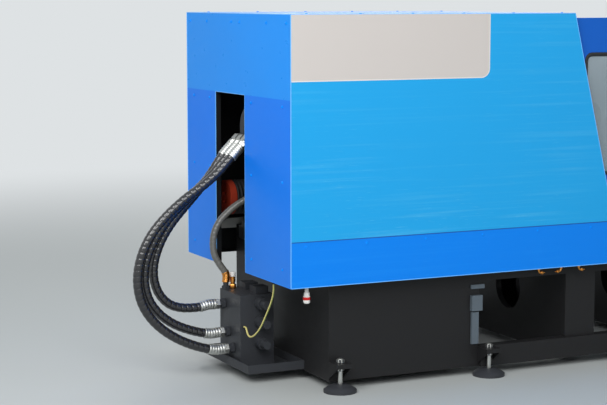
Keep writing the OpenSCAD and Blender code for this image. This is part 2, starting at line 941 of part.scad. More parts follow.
// Tail platen: casting with the rod bore, tie-bar bores and the ears of the rear pins.
module tail_platen() {
  face_t = 70;
  color(cast_grey)
    placed() {
      difference() {
        union() {
          pulled_u(u_tail_front - face_t, u_tail_front)
            platen_face(way_top + gap);
          pulled_u(u_tail, u_tail_front - face_t)
            tail_ribs();
        }
        at_tie_bars()
          bar_u(tie_r + fit, u_tail - cut, u_tail_front + cut, 0, 0);
        bar_u(rod_r + fit, u_tail - cut, u_tail_front + cut, 0, axis_z);
      }
      both_sides()
        for (z = [-pin_z, pin_z])
          ear(plane_3, u_rear_pin, axis_z + z, -1, pin_r);
    }
}

// Back of the tail platen: corner bosses and a hub, joined by crossed ribs.
module tail_ribs() {
  rib = 70;
  translate([0, axis_z]) {
    circle(cylinder_r + 60);
    for (y = [-1, 1], z = [-1, 1])
      translate([y * tie_y, z * tie_z])
        circle(bellows_r + 5);
    for (side = [-1, 1])
      rotate(side * atan(tie_z / tie_y))
        square([2 * norm([tie_y, tie_z]), rib], center = true);
    for (side = [-1, 1]) {
      translate([side * (tie_y - rib / 2), 0])
        square([rib, 2 * tie_z], center = true);
      translate([0, side * (tie_z - rib / 2)])
        square([2 * tie_y, rib], center = true);
    }
  }
}

// Lower end of the boss of the cylinder's side port.
side_port_z = axis_z - cylinder_r - 20;

// Clamp cylinder: flange, barrel with tie-rod collars, and a cap with three hose ports.
module clamp_cylinder() {
  cap_l = 70;
  cap_r = cylinder_r + 8;
  flange_t = 40;
  color("#54585c")
    placed()
      difference() {
        union() {
          bar_u(cap_r, u_cylinder, u_cylinder + cap_l, 0, axis_z);
          bar_u(cylinder_r - 8, u_cylinder, u_tail, 0, axis_z);
          bar_u(cylinder_r, u_tail - flange_t - 60, u_tail, 0, axis_z);
          bar_u(cylinder_r + 50, u_tail - flange_t, u_tail, 0, axis_z);
          for (a = [45:90:315])
            translate([0, 0, axis_z])
              rotate([a, 0, 0])
                bar_u(10, u_cylinder + cap_l, u_cylinder + cap_l + 24, cylinder_r - 12, 0);
          translate([u_cylinder + 220, 0, side_port_z])
            cylinder(r = 26, h = cylinder_r);
        }
        bar_u(rod_r + 35, u_cylinder + cap_l, u_tail - flange_t - 30, 0, axis_z);
        bar_u(rod_r + fit, u_cylinder + cap_l, u_tail + cut, 0, axis_z);
      }
}

// Elbow fittings of the three clamp hoses on the cylinder's cap, turned down by 45 degrees.
module hose_fittings() {
  start = slot_hose_route[0];
  color("#d5d6d2")
    placed() {
      for (y = port_y)
        elbow_fitting(y);
      translate(start)
        cylinder(r = 15, h = side_port_z - start[2]);
      translate([start[0], start[1], side_port_z - 20])
        cylinder(r = 24, h = 14, $fn = 6);
    }
}

// A forged elbow block with a round stub into the cap and a round tail towards the hose.
module elbow_fitting(y) {
  port_z = 1370;
  knee_u = 50;
  w = 23;
  leg = 24;
  c = cos(45);
  tail = clamp_hose_routes[0][0];
  pulled_y(y - w, y + w)
    translate([knee_u, port_z])
      polygon([[16, -w], [16, w], [-w * tan(22.5), w], [-(leg + w) * c, (w - leg) * c],
               [(w - leg) * c, -(leg + w) * c], [w * tan(22.5), -w]]);
  bar_u(18, knee_u + 8, u_cylinder, y, port_z);
  translate([knee_u, y, port_z])
    rotate([0, -135, 0])
      cylinder(r = 20, h = norm([knee_u - tail[0], port_z - tail[2]]) - gap);
}

// Outline of a toothed rim: straight flanks between root and tip.
function rim_outline(teeth, root, tip) = [
  for (i = [0:teeth - 1], k = [0:3])
    let (a = 360 * (i + [0, 0.2, 0.5, 0.7][k]) / teeth, r = [root, tip, tip, root][k])
      [r * cos(a), r * sin(a)]
];

// Toothed nuts on the tie bars that shift the tail platen for the mould height.
module height_nuts() {
  tip = bellows_r;
  color(link_grey)
    placed()
      at_tie_bars()
        difference() {
          union() {
            translate([u_tail - height_nut_t, 0, 0])
              rotate([0, 90, 0])
                linear_extrude(height_nut_t / 2)
                  polygon(rim_outline(gear_teeth, tip - 8, tip));
            bar_u(tip - 16, u_tail - height_nut_t / 2, u_tail, 0, 0);
          }
          bar_u(tie_r + fit, u_tail - height_nut_t - cut, u_tail + cut, 0, 0);
        }
}

// Ribbed sleeves over the rear ends of the tie bars.
module tie_bar_bellows() {
  color("#1b1b1d")
    placed()
      at_tie_bars()
        translate([u_bellows, 0, 0])
          rotate([0, 90, 0])
            rotate_extrude()
              bellows_profile(u_tail - height_nut_t - u_bellows);
}

// Folds as a zigzag between the rim radius and the valley radius, around a plain inner wall.
module bellows_profile(l) {
  valley = bellows_r - 14;
  pitch = l / bellows_folds;
  zigzag = [
    for (i = [0:bellows_folds - 1], k = [0, 1])
      [k == 0 ? bellows_r : valley, (i + 0.25 + 0.5 * k) * pitch]
  ];
  wall = 3;
  polygon(concat([[valley - wall, 0], [bellows_r, 0]], zigzag, [[bellows_r, l], [valley - wall, l]]));
}

// Rear pins of the toggle, fixed in the ears of the tail platen.
module tail_pins() {
  color(steel)
    placed()
      both_sides()
        for (z = [-pin_z, pin_z])
          union() {
            bar_y(pin_r, plane_2, plane_3 + link_t, u_rear_pin, axis_z + z);
            bar_y(pin_r + 10, plane_3 + link_t, plane_3 + link_t + 8, u_rear_pin, axis_z + z);
          }
}

// A waisted link lying along the machine from its first pin to its second.
module link(u0, l, z, y0, r, waist, bore0, bore1) {
  difference() {
    union() {
      bar_y(r, y0, y0 + link_t, u0, z);
      bar_y(r, y0, y0 + link_t, u0 + l, z);
      block([u0, y0, z - waist / 2], [u0 + l, y0 + link_t, z + waist / 2]);
    }
    if (bore0 > 0)
      bar_y(bore0, y0 - cut, y0 + link_t + cut, u0, z);
    if (bore1 > 0)
      bar_y(bore1, y0 - cut, y0 + link_t + cut, u0 + l, z);
  }
}

// Rear link with its elbow pin on the outside and the crosshead link's pin on the inside.
module rear_link(z) {
  link(u_rear_pin, link_l, z, plane_2, eye_r, 1.6 * eye_r, pin_r + fit, 0);
  bar_y(pin_r, plane_2 + link_t, plane_3 + link_t, u_elbow, z);
  bar_y(pin_r + 10, plane_3 + link_t + gap, plane_3 + link_t + 8, u_elbow, z);
  bar_y(pin_r, plane_3 + link_t, plane_3 + link_t + 8, u_elbow, z);
  bar_y(cross_pin_r, plane_1, plane_2, u_rear_pin + cross_l, z);
}

module front_link(z) {
  link(u_elbow, link_l, z, plane_3, eye_r, 1.6 * eye_r, pin_r + fit, pin_r + fit);
}

module crosshead_link(z) {
  link(u_rear_pin + cross_l, cross_l, z, plane_1, cross_eye_r, 1.5 * cross_eye_r,
    cross_pin_r + fit, cross_pin_r + fit);
}

// Upper rear links, one on each side.
module upper_rear_links() {
  color(link_grey)
    placed()
      both_sides()
        rear_link(axis_z + pin_z);
}

// Lower rear links.
module lower_rear_links() {
  color(link_grey)
    placed()
      both_sides()
        rear_link(axis_z - pin_z);
}

// Upper front links.
module upper_front_links() {
  color("#7d8388")
    placed()
      both_sides()
        front_link(axis_z + pin_z);
}

// Lower front links.
module lower_front_links() {
  color("#7d8388")
    placed()
      both_sides()
        front_link(axis_z - pin_z);
}

// Upper crosshead links.
module upper_crosshead_links() {
  color("#8b9196")
    placed()
      both_sides()
        crosshead_link(axis_z + pin_z);
}

// Lower crosshead links.
module lower_crosshead_links() {
  color("#8b9196")
    placed()
      both_sides()
        crosshead_link(axis_z - pin_z);
}

cross_half = 45;

// Crosshead: a tall yoke with a hub for the rod, narrow arms and a cross pin at each end.
module crosshead() {
  hub = 90;
  arm = 60;
  head = cross_eye_r;
  color("#5f666c")
    placed() {
      difference() {
        union() {
          pulled_u(u_elbow - cross_half, u_elbow + cross_half)
            translate([0, axis_z])
              both_halves()
                polygon([[-crosshead_y, 0], [-crosshead_y, hub], [-arm, hub + 70],
                    [-arm, pin_z - head - 40], [-crosshead_y, pin_z - head],
                    [-crosshead_y, pin_z], [crosshead_y, pin_z],
                    [crosshead_y, pin_z - head], [arm, pin_z - head - 40],
                    [arm, hub + 70], [crosshead_y, hub], [crosshead_y, 0]]);
          for (z = [-pin_z, pin_z])
            bar_y(cross_half, -crosshead_y, crosshead_y, u_elbow, axis_z + z);
        }
        bar_u(rod_r, u_elbow - cross_half - cut, u_elbow + cross_half + cut, 0, axis_z);
      }
      both_sides()
        for (z = [-pin_z, pin_z])
          bar_y(cross_pin_r, crosshead_y, plane_1 + link_t, u_elbow, axis_z + z);
    }
}

// Repeats a two-dimensional outline below the axis.
module both_halves() {
  children();
  mirror([0, 1])
    children();
}

// Clamp piston with its rod, screwed through the crosshead.
module piston_rod() {
  piston_u = u_tail - 240;
  piston_l = 60;
  color("#d8dadd")
    placed() {
      bar_u(rod_r, piston_u, u_elbow + cross_half, 0, axis_z);
      bar_u(rod_r + 35 - fit, piston_u, piston_u + piston_l, 0, axis_z);
    }
}

// Moving platen: casting with a pocket for the ejector and double ears for the front pins.
module moving_platen() {
  face_t = 80;
  pocket = 150;
  color(cast_grey)
    placed() {
      difference() {
        union() {
          pulled_u(u_mould - face_t, u_mould)
            platen_face(platen_z0);
          pulled_u(u_moving, u_mould - face_t)
            moving_ribs();
        }
        at_tie_bars()
          bar_u(tie_r + fit, u_moving - cut, u_mould + cut, 0, 0);
        block([u_moving - cut, -pocket, axis_z - pocket], [u_mould - face_t, pocket, axis_z + pocket]);
        for (at = ejector_rods)
          bar_u(ejector_rod_r + gap, u_mould - face_t - cut, u_mould + cut, at[0], axis_z + at[1]);
        bolt_grid(u_mould - bolt_depth, u_mould + cut);
      }
      both_sides()
        for (z = [-pin_z, pin_z], y = [plane_2, plane_4])
          ear(y, u_front_pin, axis_z + z, 1, pin_r);
    }
}

ejector_rod_r = 15;
ejector_rods = [[0, 0], [-110, -110], [-110, 110], [110, -110], [110, 110]];

// Back of the moving platen: bosses, a box round the ejector pocket and the outer frame.
module moving_ribs() {
  rib = 60;
  translate([0, axis_z]) {
    difference() {
      rounded(platen_w, platen_h, 60);
      rounded(platen_w - 2 * rib, platen_h - 2 * rib, 40);
    }
    square([420, 420], center = true);
    for (y = [-1, 1], z = [-1, 1])
      translate([y * tie_y, z * tie_z])
        circle(nut_r + 15);
    for (z = [-pin_z, pin_z])
      translate([0, z])
        square([2 * (plane_4 + link_t), 2 * eye_r + 56], center = true);
    square([platen_w - rib, rib], center = true);
  }
}

// Front pins of the toggle, fixed in the double ears of the moving platen.
module front_pins() {
  color(steel)
    placed()
      both_sides()
        for (z = [-pin_z, pin_z])
          bar_y(pin_r, plane_2, plane_4 + link_t, u_front_pin, axis_z + z);
}

// Bronze shoes under the moving platen.
module platen_shoes() {
  color("#b08a3e")
    placed()
      both_sides()
        block([u_moving + 10, way_y0 + 5, way_top + gap], [u_mould - 10, way_y1 - 15, platen_z0]);
}

// Ejector cylinder on a bridge across the pocket of the moving platen.
module ejector_cylinder() {
  bridge_t = 30;
  bridge_w = 190;
  reach = 75;
  color("#54585c")
    placed()
      difference() {
        union() {
          block([u_moving - bridge_t, -bridge_w, axis_z - 90], [u_moving, bridge_w, axis_z + 90]);
          bar_u(62, u_moving - bridge_t - reach, u_moving - bridge_t, 0, axis_z);
        }
        bar_u(ejector_piston_r + gap, u_moving - bridge_t - reach + 12, u_moving + cut, 0, axis_z);
      }
}

ejector_piston_r = 25;

// Ejector plate with its five rods and the piston rod that drives it.
module ejector_plate() {
  plate_t = 25;
  half = 140;
  color(steel)
    placed() {
      pulled_u(u_moving + 5, u_moving + 5 + plate_t)
        translate([0, axis_z])
          rounded(2 * half, 2 * half, 30);
      for (at = ejector_rods)
        bar_u(ejector_rod_r, u_moving + 5, u_mould - 1, at[0], axis_z + at[1]);
      bar_u(ejector_piston_r, u_moving - 90, u_moving + 5, 0, axis_z);
    }
}

// A safety door: folded panel, hooked over the upper rail, resting on the lower one.
module safety_door(window) {
  outline = [[u_door, door_z0], [u_door, door_z1], [u_split, door_z1], [u_split, door_z0]];
  bead = 3;
  difference() {
    folded_panel(outline, door_y1, door_t, sheet_t);
    if (window)
      window_cut(0);
  }
  if (!window)
    for (z = [view_z0, (view_z0 + view_z1) / 2, view_z1])
      block([u_door + view_inset, door_y1, z], [u_split - view_inset, door_y1 + bead, z + 40]);
  block([u_door, rail_y0 + 18, rail_top + gap], [u_split, door_y0, door_z1]);
  block([u_door, rail_y0 + 18, door_z0], [u_split, door_y0, door_z0 + 8]);
  door_handle();
}

module window_cut(grow) {
  w = door_l - 2 * view_inset + 2 * grow;
  translate([(u_door + u_split) / 2, door_y1 + cut, (view_z0 + view_z1) / 2])
    rotate([90, 0, 0])
      linear_extrude(door_t)
        rounded(w, view_z1 - view_z0 + 2 * grow, 40);
}

// Bow handle: an upright bar held by two stems.
module door_handle() {
  u = u_split - handle_inset;
  translate([u, door_y1 + handle_out, handle_z])
    cylinder(r = handle_r, h = handle_h);
  for (z = [handle_z, handle_z + handle_h]) {
    bar_y(handle_r, door_y1, door_y1 + handle_out, u, z);
    translate([u, door_y1 + handle_out, z])
      sphere(handle_r);
  }
}

// Safety door on the operator's side.
module front_door() {
  color(paint)
    placed()
      mirror([0, 1, 0])
        safety_door(true);
}

// Clear pane of the front door, behind its sheet.
module front_window() {
  color([0.75, 0.82, 0.85, 0.5])
    placed()
      mirror([0, 1, 0])
        translate([(u_door + u_split) / 2, door_y1 - sheet_t, (view_z0 + view_z1) / 2])
          rotate([90, 0, 0])
            linear_extrude(6)
              rounded(door_l - 2 * view_inset + 40, view_z1 - view_z0 + 40, 50);
}

// Safety door on the rear side, without a window.
module rear_door() {
  color(paint)
    placed()
      safety_door(false);
}

// Barrel housing with its feet, the guide bars and the rear support that holds them.
module injection_carriage() {
  color("#d7d3cc")
    placed() {
      difference() {
        union() {
          pulled_u(u_housing, u_housing_back)
            housing_profile();
          translate([u_hopper, 0, housing_top - 1])
            cylinder(r = 110, h = 31);
        }
        bar_u(barrel_r, u_housing - cut, u_housing_back + cut, 0, axis_z);
        translate([u_hopper, 0, axis_z])
          cylinder(r = 40, h = housing_top - axis_z + 31 + cut);
        bar_u(shift_rod_r, u_housing - cut, u_housing + 60, 0, shift_z);
      }
      pulled_u(u_support, u_support + support_t)
        support_profile();
      for (y = [-guide_y, guide_y]) {
        bar_u(guide_r, u_housing_back, u_support, y, guide_z);
        injection_cylinder(y);
      }
      bar_u(shift_rod_r, u_shift + shift_l - 60, u_housing + 60, 0, shift_z);
    }
}

// Housing seen along the machine: a broad head on two legs with slide shoes.
module housing_profile() {
  y2 = slide_y1 + 10;
  polygon([
    [-housing_y, housing_top], [-housing_y, axis_z - 130], [-housing_y + 60, axis_z - 190],
    [-y2 + 60, slide_top + 90], [-y2, slide_top + 60], [-y2, slide_top + gap],
    [-slide_y0 + 40, slide_top + gap], [-slide_y0 + 60, slide_top + 50], [-150, slide_top + 110],
    [150, slide_top + 110], [slide_y0 - 60, slide_top + 50], [slide_y0 - 40, slide_top + gap],
    [y2, slide_top + gap], [y2, slide_top + 60], [y2 - 60, slide_top + 90],
    [housing_y - 60, axis_z - 190], [housing_y, axis_z - 130], [housing_y, housing_top]
  ]);
  translate([-60, shift_z - 40])
    square([120, 100]);
}

module support_profile() {
  y2 = slide_y1 + 10;
  polygon([
    [-y2, slide_top + gap], [y2, slide_top + gap], [y2, slide_top + 60], [guide_y + 70, guide_z + 40],
    [-guide_y - 70, guide_z + 40], [-y2, slide_top + 60]
  ]);
}

inj_cyl_r = 60;
inj_rod_r = 25;
inj_cyl_l = 280;

// Injection cylinder behind the housing, hollow for its rod.
module injection_cylinder(y) {
  difference() {
    bar_u(inj_cyl_r, u_housing_back, u_housing_back + inj_cyl_l, y, axis_z);
    bar_u(inj_rod_r + fit, u_housing_back + 10, u_housing_back + inj_cyl_l + cut, y, axis_z);
  }
}

// Barrel with its adapter and nozzle, bored for the screw and ported under the hopper.
module barrel() {
  tip_r = 12;
  orifice = 4;
  color("#9a9da0")
    placed()
      difference() {
        union() {
          bar_u(barrel_r, u_barrel, u_housing_back, 0, axis_z);
          translate([u_nozzle, 0, axis_z])
            rotate([0, 90, 0])
              rotate_extrude()
                polygon([[0, 0], [tip_r, 0], [28, 16], [28, 150], [45, 165], [45, 200],
                    [barrel_r - 8, 215], [barrel_r - 8, nozzle_l], [0, nozzle_l]]);
        }
        bar_u(orifice, u_nozzle - cut, u_barrel, 0, axis_z);
        bar_u(screw_r + gap, u_barrel - 60, u_housing_back + cut, 0, axis_z);
        translate([u_hopper, 0, axis_z])
          cylinder(r = 30, h = barrel_r + cut);
      }
}

// Band heaters round the barrel, each with a clamp bar and a terminal box.
module heater_bands() {
  band_r = barrel_r + 12;
  color("#b7a98c")
    placed()
      for (i = [0:bands - 1])
        let (u = u_barrel + 60 + i * (band_l + band_gap))
          difference() {
            union() {
              bar_u(band_r, u, u + band_l, 0, axis_z);
              block([u + 20, -10, axis_z - band_r - 18], [u + band_l - 20, 10, axis_z - barrel_r]);
              block([u + band_l / 2 - 25, -22, axis_z + barrel_r],
                    [u + band_l / 2 + 25, 22, axis_z + band_r + 30]);
            }
            bar_u(barrel_r, u - cut, u + band_l + cut, 0, axis_z);
          }
}

guard_y = 150;

// Vented hood over the barrel, open below, screwed to the housing.
module barrel_guard() {
  u0 = u_fixed_back + 390;
  wall = 3;
  top = axis_z + 150;
  low = axis_z - 110;
  slot_w = 16;
  color("#d7d3cc")
    placed()
      difference() {
        pulled_u(u0, u_housing)
          polygon([[-guard_y, low], [-guard_y, top - 60], [-guard_y + 60, top], [guard_y - 60, top],
              [guard_y, top - 60], [guard_y, low], [guard_y - wall, low],
              [guard_y - wall, top - 60 - wall / 2], [guard_y - 60 - wall / 2, top - wall],
              [-guard_y + 60 + wall / 2, top - wall], [-guard_y + wall, top - 60 - wall / 2],
              [-guard_y + wall, low]]);
        for (i = [0:11])
          block([u0 + 120 + i * 90, -guard_y - cut, axis_z - 50],
             [u0 + 120 + slot_w + i * 90, guard_y + cut, axis_z + 60]);
      }
}

hopper_z0 = housing_top + 30;
lid_pin_r = 6;
lid_y = hopper_y + 22;

// Square block about the hopper's axis that widens from half_0 to half_1.
module square_taper(z0, z1, half_0, half_1) {
  translate([0, 0, z0])
    linear_extrude(height = z1 - z0, scale = half_1 / half_0)
      square(2 * half_0, center = true);
}

// Hopper: throat block, funnel and square top of sheet, with the ears of the lid's hinge.
module hopper() {
  wall = 4;
  throat = 50;
  block_h = 70;
  cone_h = 0.5 * hopper_h;
  neck = block_h + 20;
  color("#cfd2d4")
    placed()
      translate([u_hopper, 0, hopper_z0]) {
        difference() {
          union() {
            translate([-100, -100, 0])
              cube([200, 200, block_h]);
            square_taper(block_h - cut, neck, throat + 10, throat + 10);
            square_taper(neck, cone_h, throat, hopper_y);
            square_taper(cone_h, hopper_h, hopper_y, hopper_y);
            square_taper(hopper_h - 12, hopper_h, hopper_y + 8, hopper_y + 8);
          }
          square_taper(-cut, neck + wall + cut, throat - wall, throat - wall);
          square_taper(neck + wall, cone_h + wall, throat - wall, hopper_y - wall);
          square_taper(cone_h + wall, hopper_h + cut, hopper_y - wall, hopper_y - wall);
        }
        for (x = [-60, 44])
        difference() {
          union() {
            translate([x, hopper_y - wall, hopper_h - 30])
              cube([16, lid_y + 12 - hopper_y + wall, 28]);
            translate([x, hopper_y + 8.4, hopper_h - 30])
              cube([16, lid_y + 3.6 - hopper_y, 60]);
          }
          translate([x - cut, lid_y, hopper_h + 18])
            rotate([0, 90, 0])
              cylinder(r = lid_pin_r + fit, h = 16 + 2 * cut);
        }
    }
}

// Hopper lid: raised square sheet with a knob, a hinge lug and its pin.
module hopper_lid() {
  z0 = hopper_z0 + hopper_h + gap;
  color("#cfd2d4")
    placed()
      translate([u_hopper, 0, z0]) {
        square_taper(0, 6, hopper_y + 4, hopper_y + 4);
        square_taper(6 - cut, 14, hopper_y - 34, hopper_y - 34);
        translate([0, 0, 10])
          rotate_extrude()
            polygon([[0, 0], [12, 0], [12, 16], [24, 26], [24, 40], [0, 44]]);
        translate([-40, hopper_y - 20, 1])
          cube([80, lid_y - hopper_y + 16, 14]);
        translate([-76, lid_y, 18 - gap])
          rotate([0, 90, 0])
            cylinder(r = lid_pin_r, h = 136);
        translate([-40, lid_y, 18 - gap])
          rotate([0, 90, 0])
            cylinder(r = 12, h = 80);
      }
}

// Drive plate on the guide bars, with the coupling, the hydraulic motor and the piston rods.
module drive_plate() {
  color("#54585c")
    placed() {
      difference() {
        union() {
          pulled_u(u_drive, u_drive + drive_t)
            translate([0, (axis_z + guide_z) / 2])
              rounded(2 * housing_y, 400, 60);
          bar_u(70, u_drive - 60, u_drive, 0, axis_z);
        }
        for (y = [-guide_y, guide_y])
          bar_u(guide_r + fit, u_drive - cut, u_drive + drive_t + cut, y, guide_z);
        bar_u(screw_shank_r + fit, u_drive - 60 - cut, u_drive + 70, 0, axis_z);
      }
      translate([u_drive + drive_t, 0, axis_z])
        rotate([0, 90, 0])
          rotate_extrude()
            polygon([[0, 0], [125, 0], [125, 40], [100, 55], [100, 190], [118, 205], [118, 260],
                [70, 290], [70, 330], [0, 330]]);
      for (y = [-guide_y, guide_y])
        bar_u(inj_rod_r, u_housing_back + 15, u_drive, y, axis_z);
    }
}

screw_shank_r = 24;
screw_l = 1550;
flight_pitch = 75;

// Plasticising screw: pointed tip, root, one helical flight and the splined shank.
module screw() {
  u0 = u_barrel - 40;
  root_r = screw_r - 10;
  turns = floor((screw_l - 80) / flight_pitch);
  color("#c2c4c6")
    placed() {
      translate([u0, 0, axis_z])
        rotate([0, 90, 0])
          rotate_extrude()
            polygon([[0, 0], [screw_r - 2, 60], [root_r, 80], [root_r, screw_l], [0, screw_l]]);
      translate([u0 + 70, 0, axis_z])
        skin(flight_rings(turns, root_r - 2, screw_r, 9));
      bar_u(screw_shank_r, u0 + screw_l - 1, u_drive + 65, 0, axis_z);
    }
}

// Corners of the flight's section, twelve to a turn.
function flight_rings(turns, r0, r1, t) = [
  for (i = [0:12 * turns])
    let (a = 30 * i, u = i * flight_pitch / 12, c = cos(a), s = sin(a))
      [[u, r0 * c, r0 * s], [u, r1 * c, r1 * s], [u + t, r1 * c, r1 * s], [u + t, r0 * c, r0 * s]]
];

// Hood over the nozzle, open below and towards the barrel, on a pin at the platen.
module purge_guard() {
  half = 260;
  wall = 3;
  u0 = guard_u + guard_pin_r + 6;
  u1 = u0 + 300;
  z1 = guard_z + 5;
  z0 = axis_z - 160;
  color("#e0b02a")
    placed() {
      pulled_u(u0, u1)
        polygon([[-half, z0], [-half, z1 - 40], [-half + 40, z1], [half - 40, z1], [half, z1 - 40],
            [half, z0], [half - wall, z0], [half - wall, z1 - 40 - wall / 2],
            [half - 40 - wall / 2, z1 - wall], [-half + 40 + wall / 2, z1 - wall],
            [-half + wall, z1 - 40 - wall / 2], [-half + wall, z0]]);
      bar_y(guard_pin_r, -295, 295, guard_u, guard_z);
      block([guard_u, -200, guard_z - 4], [u0 + 20, 200, z1]);
    }
}

// Control panel: a box on a hinge sleeve, with a screen recess, key fields and a button hole.
module control_panel() {
  u0 = hinge_u + panel_reach;
  y_face = hinge_y - 60;
  color("#d9d6d0")
    placed()
      difference() {
        union() {
          translate([u0 + panel_w / 2, y_face + panel_t, panel_z + panel_h / 2])
            rotate([90, 0, 0])
              linear_extrude(panel_t)
                rounded(panel_w, panel_h, 26);
          translate([hinge_u, hinge_y, hinge_z0 + gap])
            cylinder(r = 28, h = hinge_z1 - hinge_z0);
          block([hinge_u, hinge_y - 12, hinge_z0 + 30], [u0 + 30, hinge_y + 12, hinge_z1 - 30]);
        }
        translate([hinge_u, hinge_y, hinge_z0])
          cylinder(r = hinge_r + fit, h = hinge_z1 - hinge_z0 + 2 * cut);
        panel_face(u0, y_face);
      }
}

// Recesses in the panel's face.
module panel_face(u0, y_face) {
  block([u0 + 50, y_face - cut, panel_z + 270], [u0 + panel_w - 50, y_face + 4, panel_z + 510]);
  for (i = [0:7], j = [0:2])
    block([u0 + 52 + i * 40, y_face - cut, panel_z + 130 + j * 40],
          [u0 + 80 + i * 40, y_face + 2, panel_z + 158 + j * 40]);
  bar_y(estop_shaft_r + gap, y_face - cut, y_face + 40, u0 + panel_w - 70, panel_z + 70);
}

estop_shaft_r = 9;

// Emergency stop: a mushroom button on the panel's face.
module estop_button() {
  u = hinge_u + panel_reach + panel_w - 70;
  y_face = hinge_y - 60;
  color("#c81e1e")
    placed()
      translate([u, y_face, panel_z + 70])
        rotate([90, 0, 0])
          rotate_extrude()
            polygon([[0, -25], [estop_shaft_r, -25], [estop_shaft_r, 12], [20, 14], [20, 22],
                [14, 28], [0, 30]]);
}

// One ring of a hose round the point p, square to the direction t.
function hose_ring(p, t, ref, r, sides) =
  let (a = cross(t, ref) / norm(cross(t, ref)), b = cross(a, t))
    [for (k = [0:sides - 1]) p + r * (a * cos(360 * k / sides) + b * sin(360 * k / sides))];

// Direction of a route at its point i.
function heading(route, i) =
  let (n = len(route) - 1, d = route[min(i + 1, n)] - route[max(i - 1, 0)])
    d / norm(d);

// A closed body between rings that all have the same number of corners.
module skin(rings) {
  n = len(rings);
  sides = len(rings[0]);
  walls = [
    for (i = [0:n - 2], k = [0:sides - 1])
      let (a = i * sides + k, b = i * sides + (k + 1) % sides)
        each [[a, b, b + sides], [a, b + sides, a + sides]]
  ];
  start = [[for (k = [sides - 1:-1:0]) k]];
  end = [[for (k = [0:sides - 1]) (n - 1) * sides + k]];
  polyhedron([for (ring = rings) each ring], concat(walls, start, end));
}

// A tube swept along a route with closed ends.
module hose(route, r, ref) {
  skin([for (i = [0:len(route) - 1]) hose_ring(route[i], heading(route, i), ref, r, 12)]);
}

// Outer hose of the clamp cylinder.
module clamp_hose_1() {
  color("#151516")
    placed()
      hose(clamp_hose_routes[0], hose_r, [0, 1, 0]);
}

// Middle hose of the clamp cylinder.
module clamp_hose_2() {
  color("#151516")
    placed()
      hose(clamp_hose_routes[1], hose_r, [0, 1, 0]);
}

// Inner hose of the clamp cylinder.
module clamp_hose_3() {
  color("#151516")
    placed()
      hose(clamp_hose_routes[2], hose_r, [0, 1, 0]);
}

// Hose inside the end opening, from the cylinder's side port to the top of the valve block.
module slot_hose() {
  color("#1a1a1b")
    placed()
      hose(slot_hose_route, slot_hose_r, [0, 1, 0]);
}

// Yellow and green earth wire from the end leg to the valve block.
module earth_wire() {
  color("#b8b04a")
    placed()
      hose(earth_wire_route, wire_r, [1, 0, 0]);
}

bed_side_beams();
bed_cross_members();
bed_ways();
injection_bed();
levelling_feet();
oil_gauge();
drip_tray();
oil_tank();
pump_set();
manifold_block();
cover_posts();
door_rails();
end_header();
end_legs();
front_side_cover();
rear_side_cover();
side_skirts();
top_cover();
fixed_platen();
tie_bars();
tie_bar_nuts();
tie_bar_end_discs();
tail_platen();
clamp_cylinder();
hose_fittings();
height_nuts();
tie_bar_bellows();
tail_pins();
upper_rear_links();
lower_rear_links();
upper_front_links();
lower_front_links();
upper_crosshead_links();
lower_crosshead_links();
crosshead();
piston_rod();
moving_platen();
front_pins();
platen_shoes();
ejector_cylinder();
ejector_plate();
front_door();
front_window();
rear_door();
injection_carriage();
barrel();
heater_bands();
barrel_guard();
hopper();
hopper_lid();
drive_plate();
screw();
purge_guard();
control_panel();
estop_button();
clamp_hose_1();
clamp_hose_2();
clamp_hose_3();
slot_hose();
earth_wire();
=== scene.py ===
import json
import math

import bpy
import numpy as np
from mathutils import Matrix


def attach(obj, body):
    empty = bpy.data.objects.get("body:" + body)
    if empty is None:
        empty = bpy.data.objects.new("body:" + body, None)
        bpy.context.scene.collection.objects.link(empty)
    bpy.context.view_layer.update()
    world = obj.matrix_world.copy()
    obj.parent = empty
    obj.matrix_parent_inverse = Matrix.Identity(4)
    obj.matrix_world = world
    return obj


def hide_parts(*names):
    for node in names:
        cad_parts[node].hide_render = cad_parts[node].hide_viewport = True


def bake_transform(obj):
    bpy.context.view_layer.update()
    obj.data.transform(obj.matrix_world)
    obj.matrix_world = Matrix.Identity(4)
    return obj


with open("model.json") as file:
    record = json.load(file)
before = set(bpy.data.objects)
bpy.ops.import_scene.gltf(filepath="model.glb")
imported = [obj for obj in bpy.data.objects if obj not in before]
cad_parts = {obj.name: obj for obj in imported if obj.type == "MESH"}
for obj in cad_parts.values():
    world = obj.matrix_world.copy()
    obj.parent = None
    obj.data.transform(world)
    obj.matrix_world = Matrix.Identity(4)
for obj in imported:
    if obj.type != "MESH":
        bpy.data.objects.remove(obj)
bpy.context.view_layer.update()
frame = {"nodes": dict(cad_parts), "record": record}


BASE, TAIL = "base", "tail_unit"
ALONG, ACROSS, UP, DOWN = (1, 0, 0), (0, 1, 0), (0, 0, 1), (0, 0, -1)

# Distance in metres from the end cover's face, where u starts, to x = 0
U_MID = 3.130

# Outer faces of the covers in millimetres: half width, top, and the skirt's lower edge
COVER_Y, COVER_TOP, SKIRT_LOW = 750, 2090, 610


def at(u, y, z):
    """Point in metres from millimetres: x = u / 1000 - 3.13."""
    return np.array([u / 1000.0 - U_MID, y / 1000.0, z / 1000.0])


def route(points):
    """Centre line in metres from rows of (u, y, z) in millimetres."""
    line = np.array(points, float) / 1000.0
    line[:, 0] -= U_MID
    return line


# Camera, and the cords' centre lines as rows of (u, y, z) in millimetres

CAMERA_PLACE = (-6.904, -8.82, 2.17)
CAMERA_YAW, CAMERA_PITCH, CAMERA_LENS = 25.5, -6.95, 99.0

